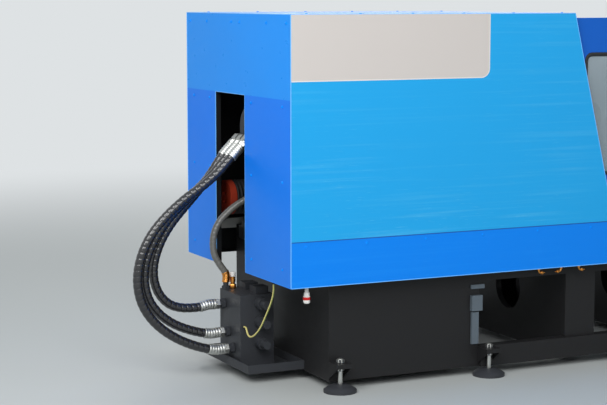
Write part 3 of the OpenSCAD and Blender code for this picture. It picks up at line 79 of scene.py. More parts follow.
camera_data = bpy.data.cameras.new("machine_camera")
camera_data.lens = CAMERA_LENS
camera_data.sensor_width = 36.0
camera_data.clip_end = 400.0
camera = bpy.data.objects.new("machine_camera", camera_data)
bpy.context.scene.collection.objects.link(camera)
camera.location = CAMERA_PLACE
camera.rotation_euler = (math.radians(90 + CAMERA_PITCH), 0.0, math.radians(-CAMERA_YAW))
bpy.context.scene.camera = camera

CLAMP_HOSE_ROUTES = [
    [[10, -50, 1330], [-30, -50, 1290], [-75, -50, 1243], [-140, -50, 1180], [-230, -50, 1112],
     [-340, -50, 1040], [-450, -50, 950], [-540, -50, 850], [-600, -50, 735], [-625, -50, 610],
     [-610, -50, 490], [-560, -50, 390], [-480, -50, 305], [-375, -50, 235], [-260, -50, 185],
     [-160, -50, 160], [-100, -50, 160]],
    [[10, 15, 1330], [-30, 15, 1290], [-75, 15, 1240], [-140, 15, 1170], [-230, 15, 1090],
     [-330, 15, 1005], [-425, 15, 910], [-500, 15, 805], [-550, 15, 690], [-560, 15, 575],
     [-535, 15, 470], [-475, 15, 385], [-390, 15, 320], [-290, 15, 275], [-180, 15, 245],
     [-100, 15, 245]],
    [[10, 80, 1330], [-30, 80, 1290], [-72, 80, 1240], [-125, 80, 1165], [-200, 80, 1075],
     [-285, 80, 985], [-370, 80, 890], [-435, 80, 790], [-475, 80, 680], [-480, 80, 580],
     [-450, 80, 490], [-390, 80, 425], [-310, 80, 395], [-210, 80, 390], [-150, 80, 400],
     [-100, 80, 400]],
]
SLOT_HOSE_ROUTE = [
    [300, 0, 1265], [300, 0, 1205], [290, 12, 1145], [255, 28, 1095], [200, 48, 1055],
    [130, 70, 1022], [60, 90, 985], [0, 103, 940], [-55, 110, 885], [-90, 110, 820],
    [-100, 110, 750], [-90, 110, 685], [-60, 110, 630], [-20, 110, 570], [-20, 110, 520]]
EARTH_WIRE_ROUTE = [
    [20, -480, 596], [20, -480, 565], [19, -472, 530], [14, -456, 486], [6, -434, 440],
    [-2, -410, 395], [-10, -384, 350], [-18, -354, 312], [-25, -322, 284], [-30, -290, 268],
    [-32, -258, 264], [-30, -230, 274], [-25, -205, 290], [-20, -182, 300], [-20, -158, 300]]
HOSE_R, SLOT_HOSE_R, WIRE_R = 0.027, 0.020, 0.005

# Pitch of each spiral guard and the height of its ridge
CLAMP_PITCH, CLAMP_RIDGE = 0.034, 0.0022
SLOT_PITCH, SLOT_RIDGE = 0.026, 0.0016


def arc_of(line):
    """Distance along the line at each of its points: the running sum of |p(i+1) - p(i)|."""
    return np.concatenate([[0], np.cumsum(np.linalg.norm(np.diff(line, axis=0), axis=1))])


def points_at(stations, line):
    """Points of the line at the given distances along it."""
    arc = arc_of(line)
    return np.stack([np.interp(stations, arc, line[:, k]) for k in range(3)], 1)


def smooth_line(points, steps, per_span=24):
    """Catmull-Rom curve through the points: p(t) = (2b + (c - a)t + (2a - 5b + 4c - d)t^2
    + (3b - a - 3c + d)t^3) / 2 between b and c, then resampled to even arc steps."""
    p = np.array(points, float)
    q = np.vstack([2 * p[0] - p[1], p, 2 * p[-1] - p[-2]])
    t = np.linspace(0, 1, per_span, endpoint=False)[None, :, None]
    a, b, c, d = (q[i:len(q) - 3 + i, None, :] for i in range(4))
    curve = 0.5 * (2 * b + (c - a) * t + (2 * a - 5 * b + 4 * c - d) * t ** 2
                   + (3 * b - a - 3 * c + d) * t ** 3)
    curve = np.vstack([curve.reshape(-1, 3), p[-1:]])
    return points_at(np.linspace(0, arc_of(curve)[-1], steps + 1), curve)


def frames(line, side):
    """Tangent t, normal n = side x t and binormal b = t x n, of length one, along a line."""
    t = np.gradient(line, axis=0)
    t /= np.linalg.norm(t, axis=1, keepdims=True)
    n = np.cross(np.array(side, float)[None], t)
    n /= np.linalg.norm(n, axis=1, keepdims=True)
    return t, n, np.cross(t, n)


class Skin:
    """Surfaces gathered into one mesh, each from a grid of points (rows, columns, 3) whose
    columns run counter-clockwise about the direction of the rows, so that faces point out."""

    def __init__(self):
        self.points, self.faces, self.loops_uv, self.count = [], [], [], 0

    def grid(self, p, capped=True):
        """Quads (i,j) (i,j+1) (i+1,j+1) (i+1,j), closed along j, with UV (j / columns,
        i / (rows - 1)); the first and the last row are a face each if the grid is capped."""
        rows, cols = p.shape[:2]
        i, j = np.meshgrid(np.arange(rows - 1), np.arange(cols), indexing="ij")
        k = (j + 1) % cols
        quads = np.stack([i * cols + j, i * cols + k, (i + 1) * cols + k, (i + 1) * cols + j], -1)
        self.faces += (quads.reshape(-1, 4) + self.count).tolist()
        u0, u1 = j / cols, (j + 1) / cols
        v0, v1 = i / (rows - 1), (i + 1) / (rows - 1)
        self.loops_uv.append(np.stack([u0, v0, u1, v0, u1, v1, u0, v1], -1).reshape(-1, 2))
        if capped:
            first = np.arange(cols) + self.count
            self.faces += [first[::-1].tolist(), (first + (rows - 1) * cols).tolist()]
            self.loops_uv.append(np.zeros((2 * cols, 2)))
        self.points.append(p.reshape(-1, 3))
        self.count += rows * cols
        return self

    def make(self, name, material, body=None, smooth=35.0, slot=None):
        """The mesh as an object at the origin, with its material, riding on a body."""
        mesh = bpy.data.meshes.new(name)
        mesh.from_pydata(np.vstack(self.points).tolist(), [], self.faces)
        layer = mesh.uv_layers.new(name="UVMap")
        layer.data.foreach_set("uv", np.concatenate(self.loops_uv).astype(np.float32).ravel())
        mesh.materials.append(material)
        mesh.validate()
        mesh.shade_smooth()
        mesh.set_sharp_from_angle(angle=math.radians(smooth))
        obj = bpy.data.objects.new(name, mesh)
        bpy.context.scene.collection.objects.link(obj)
        if body:
            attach(obj, body)
        return obj


def swept(line, side, section, scale=None):
    """Section points (s, q) about a line: p(i,j) = c(i) + k(i) (s(j) n(i) + q(j) b(i))."""
    _, n, b = frames(line, side)
    k = np.ones(len(line)) if scale is None else np.asarray(scale)
    return (line[:, None] + (k[:, None] * section[None, :, 0])[..., None] * n[:, None]
            + (k[:, None] * section[None, :, 1])[..., None] * b[:, None])


def circle(r, count):
    """Circle r (cos a, sin a) with count points from a = 0."""
    a = np.arange(count) * 2 * np.pi / count
    return np.stack([r * np.cos(a), r * np.sin(a)], 1)


def turned(origin, axis, stations, radii, count):
    """Body of revolution about a straight axis: radius radii(i) at distance stations(i)."""
    axis = np.array(axis, float)
    axis /= np.linalg.norm(axis)
    n = np.cross(UP if abs(axis[2]) < 0.9 else ALONG, axis)
    n /= np.linalg.norm(n)
    b = np.cross(axis, n)
    c = np.array(origin, float)[None] + np.asarray(stations, float)[:, None] * axis[None]
    s = circle(1.0, count)
    r = np.asarray(radii, float)[:, None, None]
    return c[:, None] + r * (s[None, :, :1] * n + s[None, :, 1:] * b)


# Materials

BACKDROP = (222, 226, 228)
# Painted shade: the dark colour put on the covers' inner faces in place of the shade inside the shell
INSIDE_PAINTED_SHADE = (30, 31, 33)

# Planes just under the outer faces of the covers, in metres
SHELL_X, SHELL_Y, SHELL_TOP = -3.1272, 0.7468, 2.0872


def linear(rgb):
    """Linear value of an sRGB colour given from 0 to 255: ((c + 0.055) / 1.055) ^ 2.4."""
    c = np.array(rgb, float) / 255.0
    return tuple(np.where(c <= 0.04045, c / 12.92, ((c + 0.055) / 1.055) ** 2.4)) + (1.0,)


def new_group(name, inputs, outputs):
    """Empty node group with float or colour sockets."""
    tree = bpy.data.node_groups.new(name, "ShaderNodeTree")
    kinds = {"f": "NodeSocketFloat", "c": "NodeSocketColor"}
    for label, kind, value in inputs:
        socket = tree.interface.new_socket(label, in_out="INPUT", socket_type=kinds[kind])
        socket.default_value = value
    for label, kind in outputs:
        tree.interface.new_socket(label, in_out="OUTPUT", socket_type=kinds[kind])
    return tree, tree.nodes.new("NodeGroupInput"), tree.nodes.new("NodeGroupOutput")


def feed(tree, value, socket):
    """A number or a colour is set on the socket, and another socket is linked to it."""
    if isinstance(value, (int, float, tuple)):
        socket.default_value = value
    else:
        tree.links.new(value, socket)


def math_node(tree, operation, *values, clamp=False):
    """Math node whose values are sockets or numbers."""
    node = tree.nodes.new("ShaderNodeMath")
    node.operation, node.use_clamp = operation, clamp
    for value, socket in zip(values, node.inputs):
        feed(tree, value, socket)
    return node.outputs[0]


def rise_node(tree, value, level, gain, clamp=False):
    """(value - level) gain, and where it is clamped, no less than 0 and no more than 1."""
    return math_node(tree, "MULTIPLY", math_node(tree, "SUBTRACT", value, level), gain, clamp=clamp)


def blend_node(tree, factor, a, b):
    """Colour mix (1 - f) a + f b."""
    node = tree.nodes.new("ShaderNodeMix")
    node.data_type = "RGBA"
    for value, index in ((factor, 0), (a, 6), (b, 7)):
        feed(tree, value, node.inputs[index])
    return node.outputs[2]


def shade_node(tree, colour, shift):
    """The colour with its value multiplied by 1 + shift."""
    node = tree.nodes.new("ShaderNodeHueSaturation")
    tree.links.new(math_node(tree, "ADD", shift, 1.0), node.inputs["Value"])
    tree.links.new(colour, node.inputs["Color"])
    return node.outputs[0]


def noise_node(tree, scale, stretch, detail):
    """Noise over the object's own coordinates, stretched by a factor on each axis."""
    coords = tree.nodes.new("ShaderNodeTexCoord")
    mapping = tree.nodes.new("ShaderNodeMapping")
    mapping.inputs["Scale"].default_value = stretch
    noise = tree.nodes.new("ShaderNodeTexNoise")
    noise.inputs["Detail"].default_value = detail
    tree.links.new(coords.outputs["Object"], mapping.inputs[0])
    tree.links.new(mapping.outputs[0], noise.inputs[0])
    feed(tree, scale, noise.inputs["Scale"])
    return noise.outputs[0]


def place_node(tree):
    """The sockets x, y and z of the object's own coordinates, in metres."""
    coords = tree.nodes.new("ShaderNodeTexCoord")
    split = tree.nodes.new("ShaderNodeSeparateXYZ")
    tree.links.new(coords.outputs["Object"], split.inputs[0])
    return split.outputs


def height_node(tree, low, high):
    """0 at z = low, 1 at z = high."""
    span = tree.nodes.new("ShaderNodeMapRange")
    tree.links.new(place_node(tree)[2], span.inputs[0])
    feed(tree, low, span.inputs["From Min"])
    feed(tree, high, span.inputs["From Max"])
    return span.outputs[0]


def paint_group():
    """Sprayed sheet: broad tone shifts, a fade to a second colour below and orange peel."""
    tree, gin, gout = new_group(
        "sprayed_sheet",
        [("Color", "c", (0.1, 0.4, 0.9, 1)), ("Low Color", "c", (0.1, 0.4, 0.9, 1)),
         ("Low Z", "f", 0.6), ("High Z", "f", 2.0), ("Tone", "f", 0.08), ("Roughness", "f", 0.35),
         ("Peel", "f", 0.5)],
        [("Color", "c"), ("Roughness", "f"), ("Height", "f")])
    fade = height_node(tree, gin.outputs["Low Z"], gin.outputs["High Z"])
    colour = blend_node(tree, fade, gin.outputs["Low Color"], gin.outputs["Color"])
    broad = noise_node(tree, 1.3, (1, 1, 1.6), 4.0)
    shift = rise_node(tree, broad, 0.5, gin.outputs["Tone"])
    tree.links.new(shade_node(tree, colour, shift), gout.inputs["Color"])
    fine = noise_node(tree, 9.0, (1, 1, 2.0), 5.0)
    rough = math_node(tree, "ADD", rise_node(tree, fine, 0.5, 0.16), gin.outputs["Roughness"])
    tree.links.new(rough, gout.inputs["Roughness"])
    peel = noise_node(tree, 260.0, (1, 1, 1), 2.0)
    tree.links.new(math_node(tree, "MULTIPLY", peel, gin.outputs["Peel"]), gout.inputs["Height"])
    return tree


def highlight_streak_group():
    """Painted highlights: long faint level streaks in a lighter colour, denser towards the lower edge,
    with short bright painted glints.
    """
    tree, gin, gout = new_group(
        "painted_highlight_streaks",
        [("Color", "c", (0.1, 0.5, 0.8, 1)), ("Streak Color", "c", (0.4, 0.8, 1, 1)),
         ("Amount", "f", 0.4), ("Low Z", "f", 0.86), ("High Z", "f", 2.05)],
        [("Color", "c"), ("Roughness", "f"), ("Height", "f")])
    long = noise_node(tree, 3.2, (0.35, 0.35, 16.0), 6.0)
    ramp = rise_node(tree, long, 0.52, 5.5, clamp=True)
    glint = noise_node(tree, 9.0, (1.2, 1.2, 18.0), 4.0)
    spark = rise_node(tree, glint, 0.63, 9.0, clamp=True)
    fade = height_node(tree, gin.outputs["High Z"], gin.outputs["Low Z"])
    patch = noise_node(tree, 1.1, (1, 1, 1.2), 2.0)
    where = rise_node(tree, patch, 0.35, 3.0, clamp=True)
    lower = math_node(tree, "ADD", math_node(tree, "MULTIPLY", fade, 0.75), 0.25)
    dense = math_node(tree, "MULTIPLY", lower, where)
    both = math_node(tree, "ADD", math_node(tree, "MULTIPLY", ramp, 0.55),
                     math_node(tree, "MULTIPLY", spark, 0.9), clamp=True)
    amount = math_node(tree, "MULTIPLY", math_node(tree, "MULTIPLY", both, dense),
                       gin.outputs["Amount"], clamp=True)
    colour = blend_node(tree, amount, gin.outputs["Color"], gin.outputs["Streak Color"])
    tree.links.new(colour, gout.inputs["Color"])
    rough = math_node(tree, "ADD", math_node(tree, "MULTIPLY", long, 0.22), 0.24)
    tree.links.new(rough, gout.inputs["Roughness"])
    tree.links.new(long, gout.inputs["Height"])
    return tree


def grain_group():
    """Metal or rubber grain: fine noise on colour, roughness and height."""
    tree, gin, gout = new_group(
        "fine_grain",
        [("Color", "c", (0.5, 0.5, 0.5, 1)), ("Scale", "f", 60.0), ("Tone", "f", 0.12),
         ("Roughness", "f", 0.4), ("Spread", "f", 0.15)],
        [("Color", "c"), ("Roughness", "f"), ("Height", "f")])
    grain = noise_node(tree, gin.outputs["Scale"], (1, 1, 1), 5.0)
    shift = rise_node(tree, grain, 0.5, gin.outputs["Tone"])
    tree.links.new(shade_node(tree, gin.outputs["Color"], shift), gout.inputs["Color"])
    spread = rise_node(tree, grain, 0.5, gin.outputs["Spread"])
    rough = math_node(tree, "ADD", spread, gin.outputs["Roughness"])
    tree.links.new(rough, gout.inputs["Roughness"])
    tree.links.new(grain, gout.inputs["Height"])
    return tree


def inside_group():
    """1 inside the covers, where |y| < SHELL_Y, x > SHELL_X and z < SHELL_TOP."""
    tree, _, gout = new_group("shell_inside", [], [("Mask", "f")])
    x, y, z = place_node(tree)
    between = math_node(tree, "LESS_THAN", math_node(tree, "ABSOLUTE", y), SHELL_Y)
    behind = math_node(tree, "GREATER_THAN", x, SHELL_X)
    below = math_node(tree, "LESS_THAN", z, SHELL_TOP)
    mask = math_node(tree, "MULTIPLY", math_node(tree, "MULTIPLY", between, behind), below)
    tree.links.new(mask, gout.inputs["Mask"])
    return tree


PAINT, HIGHLIGHT_STREAKS, GRAIN, INSIDE = paint_group(), highlight_streak_group(), grain_group(), inside_group()


def paint_inside_shade(material):
    """Painted shade: a dark colour on the covers' inner faces, where little light gets in, over the
    material's own colour.
    """
    tree = material.node_tree
    base = tree.nodes["Principled BSDF"].inputs["Base Color"]
    mask = tree.nodes.new("ShaderNodeGroup")
    mask.node_tree = INSIDE
    inside_shade = blend_node(tree, mask.outputs["Mask"], base.links[0].from_socket, linear(INSIDE_PAINTED_SHADE))
    tree.links.new(inside_shade, base)


def finish_of(name, group, values, bump, distance, **shader):
    """Material whose colour, roughness and height come from a group; other sockets are plain."""
    material = bpy.data.materials.new(name)
    material.use_nodes = True
    tree = material.node_tree
    bsdf = tree.nodes["Principled BSDF"]
    for label, value in shader.items():
        bsdf.inputs[label.replace("_", " ")].default_value = value
    node = tree.nodes.new("ShaderNodeGroup")
    node.node_tree = group
    for label, value in values.items():
        node.inputs[label].default_value = value
    tree.links.new(node.outputs["Color"], bsdf.inputs["Base Color"])
    tree.links.new(node.outputs["Roughness"], bsdf.inputs["Roughness"])
    if bump:
        raised = tree.nodes.new("ShaderNodeBump")
        raised.inputs["Strength"].default_value = bump
        raised.inputs["Distance"].default_value = distance
        tree.links.new(node.outputs["Height"], raised.inputs["Height"])
        tree.links.new(raised.outputs[0], bsdf.inputs["Normal"])
    material.diffuse_color = linear((128, 128, 128))
    return material


def paint(name, rgb, low=None, z=(0.6, 2.0), tone=0.08, rough=0.35, peel=0.5, coat=0.05,
          bump=0.12, gloss=0.22):
    """Sprayed paint in one colour, or fading to a second one below."""
    values = {"Color": linear(rgb), "Low Color": linear(low or rgb), "Low Z": z[0], "High Z": z[1],
              "Tone": tone, "Roughness": rough, "Peel": peel}
    return finish_of(name, PAINT, values, bump=bump, distance=0.0004, Coat_Weight=coat,
                     Coat_Roughness=0.12, Specular_IOR_Level=gloss)


def highlight_streaked(name, rgb, highlight_rgb, amount, z, coat, coat_rough, gloss):
    """Sheet in one colour with painted highlights, level streaks in a lighter colour, between two
    heights.
    """
    values = {"Color": linear(rgb), "Streak Color": linear(highlight_rgb), "Amount": amount,
              "Low Z": z[0], "High Z": z[1]}
    return finish_of(name, HIGHLIGHT_STREAKS, values, bump=0.05, distance=0.0006, Coat_Weight=coat,
                     Coat_Roughness=coat_rough, Specular_IOR_Level=gloss)


def grained(name, rgb, scale=60.0, tone=0.12, rough=0.4, spread=0.15, metal=0.0, bump=0.1,
            distance=0.0004, **more):
    """Plain body colour with a fine grain."""
    values = {"Color": linear(rgb), "Scale": scale, "Tone": tone, "Roughness": rough,
              "Spread": spread}
    return finish_of(name, GRAIN, values, bump=bump, distance=distance, Metallic=metal, **more)


def bare_metal(name, rgb, **grain):
    """Fine-grained finish of bare metal."""
    return grained(name, rgb, metal=1.0, **grain)


M = {
    # The side cover and the skirt carry painted highlight streaks and glints in a lighter blue
    "cover": highlight_streaked("side_cover_sheet", (30, 163, 228), (120, 208, 240), amount=0.55,
                      z=(0.86, 2.05), coat=0.05, coat_rough=0.1, gloss=0.25),
    "skirt": highlight_streaked("skirt_sheet", (0, 130, 238), (40, 165, 250), amount=0.5,
                      z=(0.62, 0.9), coat=0.04, coat_rough=0.12, gloss=0.22),
    # The header and the legs are one paint in lit and shaded copies: the legs' darker blue is painted
    # shade
    "header": paint("end_header_paint", (8, 146, 246), tone=0.1, rough=0.3, coat=0.0, gloss=0.12),
    # The legs' redder blue towards the bottom is a painted reflection of a red floor
    "leg": paint("end_leg_painted_shade_and_reflection", (0, 124, 242), low=(40, 130, 238), z=(0.6, 1.35), tone=0.06,
                 rough=0.36, coat=0.0, gloss=0.12),
    # Lighter blue for the folded edges: a painted highlight along the bends
    "fold": paint("folded_edge_painted_highlight", (112, 186, 255), tone=0.04, rough=0.3),
    "top": paint("top_cover_paint", (30, 146, 242), tone=0.06, rough=0.38),
    "door": paint("door_paint", (12, 92, 190), tone=0.06, rough=0.38),
    "band": paint("name_band_vinyl", (205, 198, 193), tone=0.02, rough=0.45, peel=0.2, coat=0.0,
                  bump=0.03),
    "bed": paint("bed_paint", (31, 31, 32), tone=0.12, rough=0.5, coat=0.05, bump=0.2),
    "dark": paint("tank_paint", (52, 54, 58), tone=0.1, rough=0.5, coat=0.05, bump=0.2),
    "rail": paint("rail_paint", (196, 196, 192), tone=0.04, rough=0.42),
    "casting": grained("casting_paint", (140, 146, 150), scale=38.0, tone=0.1, rough=0.5,
                       bump=0.25, distance=0.001),
    "steel": bare_metal("ground_steel", (190, 193, 197), scale=140.0, tone=0.1, rough=0.32,
                        bump=0.05),
    "link": grained("cast_link", (118, 122, 126), scale=50.0, tone=0.14, rough=0.45, metal=0.6,
                    bump=0.2),
    "chrome": bare_metal("chromed_rod", (214, 217, 220), scale=80.0, tone=0.04, rough=0.1,
                         spread=0.05, bump=0.0),
    "fitting": bare_metal("zinc_fitting", (200, 201, 197), scale=90.0, tone=0.1, rough=0.4,
                          bump=0.04),
    "brass": bare_metal("brass_fitting", (214, 146, 74), scale=90.0, tone=0.12, rough=0.3,
                        bump=0.05),
    "bronze": bare_metal("bronze_shoe", (176, 138, 62), scale=70.0, tone=0.12, rough=0.4,
                         bump=0.05),
    "rubber": grained("rubber", (20, 20, 22), scale=120.0, tone=0.2, rough=0.62, bump=0.15),
    "bellows": grained("bellows_cloth", (24, 24, 26), scale=260.0, tone=0.25, rough=0.68,
                       bump=0.25, distance=0.0006),
    "guard_coil": grained("hose_spiral_guard", (34, 34, 36), scale=80.0, tone=0.2, rough=0.24,
                          bump=0.05, Coat_Weight=0.5, Coat_Roughness=0.1),
    "grey_coil": grained("slot_hose_spiral_guard", (104, 103, 98), scale=90.0, tone=0.25,
                         rough=0.3, bump=0.1, Coat_Weight=0.4, Coat_Roughness=0.12),
    "band_edge": paint("name_band_edge", (232, 226, 220), tone=0.02, rough=0.4, peel=0.2,
                       coat=0.0, bump=0.03),
    # Dark blue strip between the side cover and the skirt: painted shadow in the seam
    "seam": grained("seam_painted_shadow_strip", (6, 84, 168), scale=40.0, tone=0.3, rough=0.5, bump=0.1),
    "disc": paint("end_disc_paint", (168, 58, 38), tone=0.06, rough=0.4),
    "gauge": paint("gauge_paint", (92, 102, 110), tone=0.06, rough=0.35),
    "cream": paint("cream_paint", (214, 211, 204), tone=0.03, rough=0.4),
    "sheet": bare_metal("hopper_sheet", (198, 201, 203), scale=14.0, tone=0.05, rough=0.36,
                        spread=0.08, bump=0.0),
    "band_heat": bare_metal("heater_sheet", (184, 168, 140), scale=55.0, tone=0.2, rough=0.38,
                            bump=0.1),
    "yellow": paint("guard_yellow_paint", (224, 172, 40), tone=0.05, rough=0.38),
    "button": paint("button_plastic", (198, 28, 26), tone=0.02, rough=0.25, peel=0.1, coat=0.4,
                    bump=0.02),
    "white": paint("plug_plastic", (226, 224, 220), tone=0.02, rough=0.35, peel=0.1, bump=0.02),
}


def pane_material():
    """Clear pane: a mostly transparent sheet with a smooth glossy face."""
    material = grained("clear_pane", (196, 214, 222), scale=8.0, tone=0.02, rough=0.06,
                       spread=0.02, bump=0.0, Alpha=0.26, IOR=1.49)
    material.surface_render_method = "BLENDED"
    return material


def wire_material():
    """Insulation with a green stripe over 0.4 < u < 0.6 of its own UV round the wire."""
    material = grained("wire_insulation", (208, 196, 122), scale=60.0, tone=0.08, rough=0.42,
                       bump=0.02)
    tree = material.node_tree
    base = tree.nodes["Principled BSDF"].inputs["Base Color"]
    uv = tree.nodes.new("ShaderNodeUVMap")
    uv.uv_map = "UVMap"
    split = tree.nodes.new("ShaderNodeSeparateXYZ")
    tree.links.new(uv.outputs[0], split.inputs[0])
    away = math_node(tree, "ABSOLUTE", math_node(tree, "SUBTRACT", split.outputs[0], 0.5))
    stripe = math_node(tree, "LESS_THAN", away, 0.1)
    green = blend_node(tree, stripe, base.links[0].from_socket, linear((126, 140, 72)))
    tree.links.new(green, base)
    return material


M["pane"], M["wire"] = pane_material(), wire_material()
# The inner faces of these covers get painted shade
for key in ("cover", "skirt", "header", "leg", "top"):
    paint_inside_shade(M[key])

FINISH_OF_SLOT = {
    "bed_paint": "bed", "cover_paint": "header", "side_paint": "cover", "skirt_paint": "skirt",
    "rail_paint": "rail", "dark_paint": "dark", "casting_paint": "casting", "machined_steel": "steel",
    "link_steel": "link", "chromed_rod": "chrome", "fitting_steel": "fitting", "rubber_black": "rubber",
    "disc_red": "disc", "gauge_grey": "gauge", "bronze": "bronze", "cream_paint": "cream",
    "hopper_steel": "sheet", "heater_sheet": "band_heat", "guard_yellow": "yellow", "pane": "pane",
    "button_red": "button", "wire_insulation": "wire"}
FINISH_OF_NODE = {"end_legs": "leg", "end_header": "header", "top_cover": "top", "front_door": "door",
                  "rear_door": "door"}

for sub in frame["record"]["subparts"]:
    node = frame["nodes"][sub["node"]]
    finish = FINISH_OF_NODE.get(sub["node"], FINISH_OF_SLOT[sub["material_slot"]])
    node.data.materials.clear()
    node.data.materials.append(M[finish])


# Hoses and wire

# Side vector of the slot hose, its ferrules' length, and the adapter below it
SLOT_SIDE, SLOT_FERRULE = (0, 1, 0.2), 0.065
ADAPTER_U, ADAPTER_Y = 24, 110
HOSE_NUT_R, ADAPTER_NUT_R = 0.031, 0.021


def guarded_hose(line, side, r, pitch, ridge, count=40):
    """Hose in a spiral guard: radius r - ridge (1 - f(w)) with w = s / pitch - a / 2pi, where f is a
    flat strip with rounded edges, f = clip(1.35 sin(pi frac(w)), 0, 1) ^ 0.6."""
    a = np.arange(count) * 2 * np.pi / count
    w = arc_of(line)[:, None] / pitch - a[None] / (2 * np.pi)
    f = np.clip(1.35 * np.sin(np.pi * (w % 1.0)), 0, 1) ** 0.6
    radius = r - ridge * (1 - f)
    _, n, b = frames(line, side)
    return line[:, None] + radius[..., None] * (np.cos(a)[None, :, None] * n[:, None]
                                                + np.sin(a)[None, :, None] * b[:, None])


def ferrule(skin, line, side, r, length, grooves=5):
    """Crimped sleeve over the start of a line: radius r (1.14 - 0.05 dip) where dip is 1 in the
    middle of each crimp groove and 0 between the grooves, with a rounded mouth and end."""
    stations = np.linspace(0, length, 60)
    t = np.clip((stations / length - 0.12) / 0.76, 0, 1)
    dip = np.clip(np.sin(np.pi * (2 * grooves - 1) * t), 0, 1) ** 0.5
    radius = r * (1.14 - 0.05 * dip)
    radius[:2] = r * 0.7, r * 1.08
    radius[-2:] = r * 1.1, r
    skin.grid(swept(points_at(stations, line), side, circle(1.0, 40), radius))


def hex_nut(skin, origin, axis, r, length):
    """Hexagon nut with chamfered ends."""
    stations = np.array([0, 0, 0.12, 0.88, 1, 1]) * length
    radii = np.array([0.5, 0.88, 1, 1, 0.88, 0.5]) * r
    skin.grid(turned(origin, axis, stations, radii, 6))


upper_metal, lower_metal = Skin(), Skin()
for number, points in enumerate(CLAMP_HOSE_ROUTES, 1):
    line = smooth_line(route(points), 640)
    hose = Skin().grid(guarded_hose(line, ACROSS, HOSE_R, CLAMP_PITCH, CLAMP_RIDGE))
    piece = hose.make(f"clamp_hose_guard_{number}", M["guard_coil"], slot="rubber_black", smooth=60)
    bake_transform(piece)
    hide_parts(f"clamp_hose_{number}")
    for skin, inward, sleeve, nut in ((upper_metal, line, 0.085, 0.026),
                                      (lower_metal, line[::-1], 0.1, 0.024)):
        ferrule(skin, inward, ACROSS, HOSE_R, sleeve)
        hex_nut(skin, inward[0], inward[0] - inward[1], HOSE_NUT_R, nut)

line = smooth_line(route(SLOT_HOSE_ROUTE), 420)
hose = Skin().grid(guarded_hose(line, SLOT_SIDE, SLOT_HOSE_R, SLOT_PITCH, SLOT_RIDGE))
piece = hose.make("slot_hose_guard", M["grey_coil"], slot="rubber_black", smooth=60)
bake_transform(piece)
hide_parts("slot_hose")
slot_metal = Skin()
for skin, inward in ((upper_metal, line), (slot_metal, line[::-1])):
    ferrule(skin, inward, SLOT_SIDE, SLOT_HOSE_R, SLOT_FERRULE)
upper_metal.make("hose_ferrules_upper", M["fitting"], TAIL, slot="fitting_steel")
lower_metal.make("hose_ferrules_lower", M["fitting"], BASE, slot="fitting_steel")
hex_nut(slot_metal, at(ADAPTER_U, ADAPTER_Y, 480), UP, ADAPTER_NUT_R, 0.026)
slot_metal.grid(turned(at(ADAPTER_U, ADAPTER_Y, 505), UP, [0, 0.012, 0.014, 0.044, 0.046],
                       [0.0135, 0.0135, 0.0165, 0.0165, 0.012], 28))
slot_metal.make("slot_hose_ferrule", M["brass"], BASE, slot="bronze")
cap = Skin().grid(turned(at(ADAPTER_U, ADAPTER_Y, 551), UP, [0, 0.001, 0.022, 0.026, 0.028],
                         [0.012, 0.017, 0.017, 0.014, 0.004], 28))
cap.make("adapter_cap", M["white"], BASE)

line = smooth_line(route(EARTH_WIRE_ROUTE), 160)
wire = Skin().grid(swept(line, ALONG, circle(WIRE_R, 20)))
piece = wire.make("earth_wire_sheath", M["wire"], BASE, slot="wire_insulation")
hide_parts("earth_wire")


# Bellows over the tie bars, which lie TIE_Y beside the machine's axis and TIE_RISE above and below it

AXIS_Z, TIE_Y, TIE_RISE = 1430, 430, 450
BELLOWS_U, BELLOWS_LENGTH, BELLOWS_FOLDS = 150, 0.55, 24
BELLOWS_VALLEY, BELLOWS_RIDGE = 0.090, 0.106


def fold_profile(length, folds, low, high, per_fold=10):
    """Radius along the bellows: low + (high - low) |sin(pi k)| ^ 0.7 over the fold number k."""
    k = np.linspace(0, folds, folds * per_fold + 1)
    return length * k / folds, low + (high - low) * np.abs(np.sin(np.pi * k)) ** 0.7


bellows = Skin()
stations, radii = fold_profile(BELLOWS_LENGTH, BELLOWS_FOLDS, BELLOWS_VALLEY, BELLOWS_RIDGE)
for y in (-TIE_Y, TIE_Y):
    for z in (AXIS_Z - TIE_RISE, AXIS_Z + TIE_RISE):
        bellows.grid(turned(at(BELLOWS_U, y, z), ALONG, stations, radii, 44))
piece = bellows.make("tie_bar_bellows_folds", M["bellows"], slot="rubber_black", smooth=70)
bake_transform(piece)
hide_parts("tie_bar_bellows")


# Name band, seam strips and folded edges of the covers

BAND_END, BAND_LOW, BAND_CORNER, BAND_BORDER = 1235, 1735, 48, 6
SEAM_END, SEAM_LOW, SEAM_HIGH = 2108, 860, 865

# Lines of the folded edges: corners, top, skirt, the raked edges and the end opening
BEAD_Y, BEAD_U, BEAD_TOP, BEAD_LOW = 748.6, 1.4, 2088.4, 611.4
CORNER_BEAD_R, BEAD_R, SLOT_BEAD_R = 0.0028, 0.0026, 0.0024
SKIRT_END, RAKE_TOP_U, RAKE_LOW_U, RAKE_Y = 2757, 1815, 2113, 748.4
SLOT_U, SLOT_LEFT, SLOT_RIGHT, SLOT_TOP = 1.6, -131, 301, 1630.5


def flat_outline(u0, u1, z0, z1, radii, y, count=10):
    """Outline in a side plane: a rectangle whose corner k has the radius radii[k], in millimetres,
    counter-clockwise as seen from the operator's side, from the lower left corner."""
    corners = [(u0, z0, 1, 1, np.pi), (u1, z0, -1, 1, 1.5 * np.pi),
               (u1, z1, -1, -1, 0), (u0, z1, 1, -1, np.pi / 2)]
    rows = []
    for (u, z, du, dz, start), r in zip(corners, radii):
        a = start + np.linspace(0, np.pi / 2, count)
        rows.append(np.stack([u + du * r + r * np.cos(a), np.full(count, float(y)),
                              z + dz * r + r * np.sin(a)], 1))
    return route(np.vstack(rows))


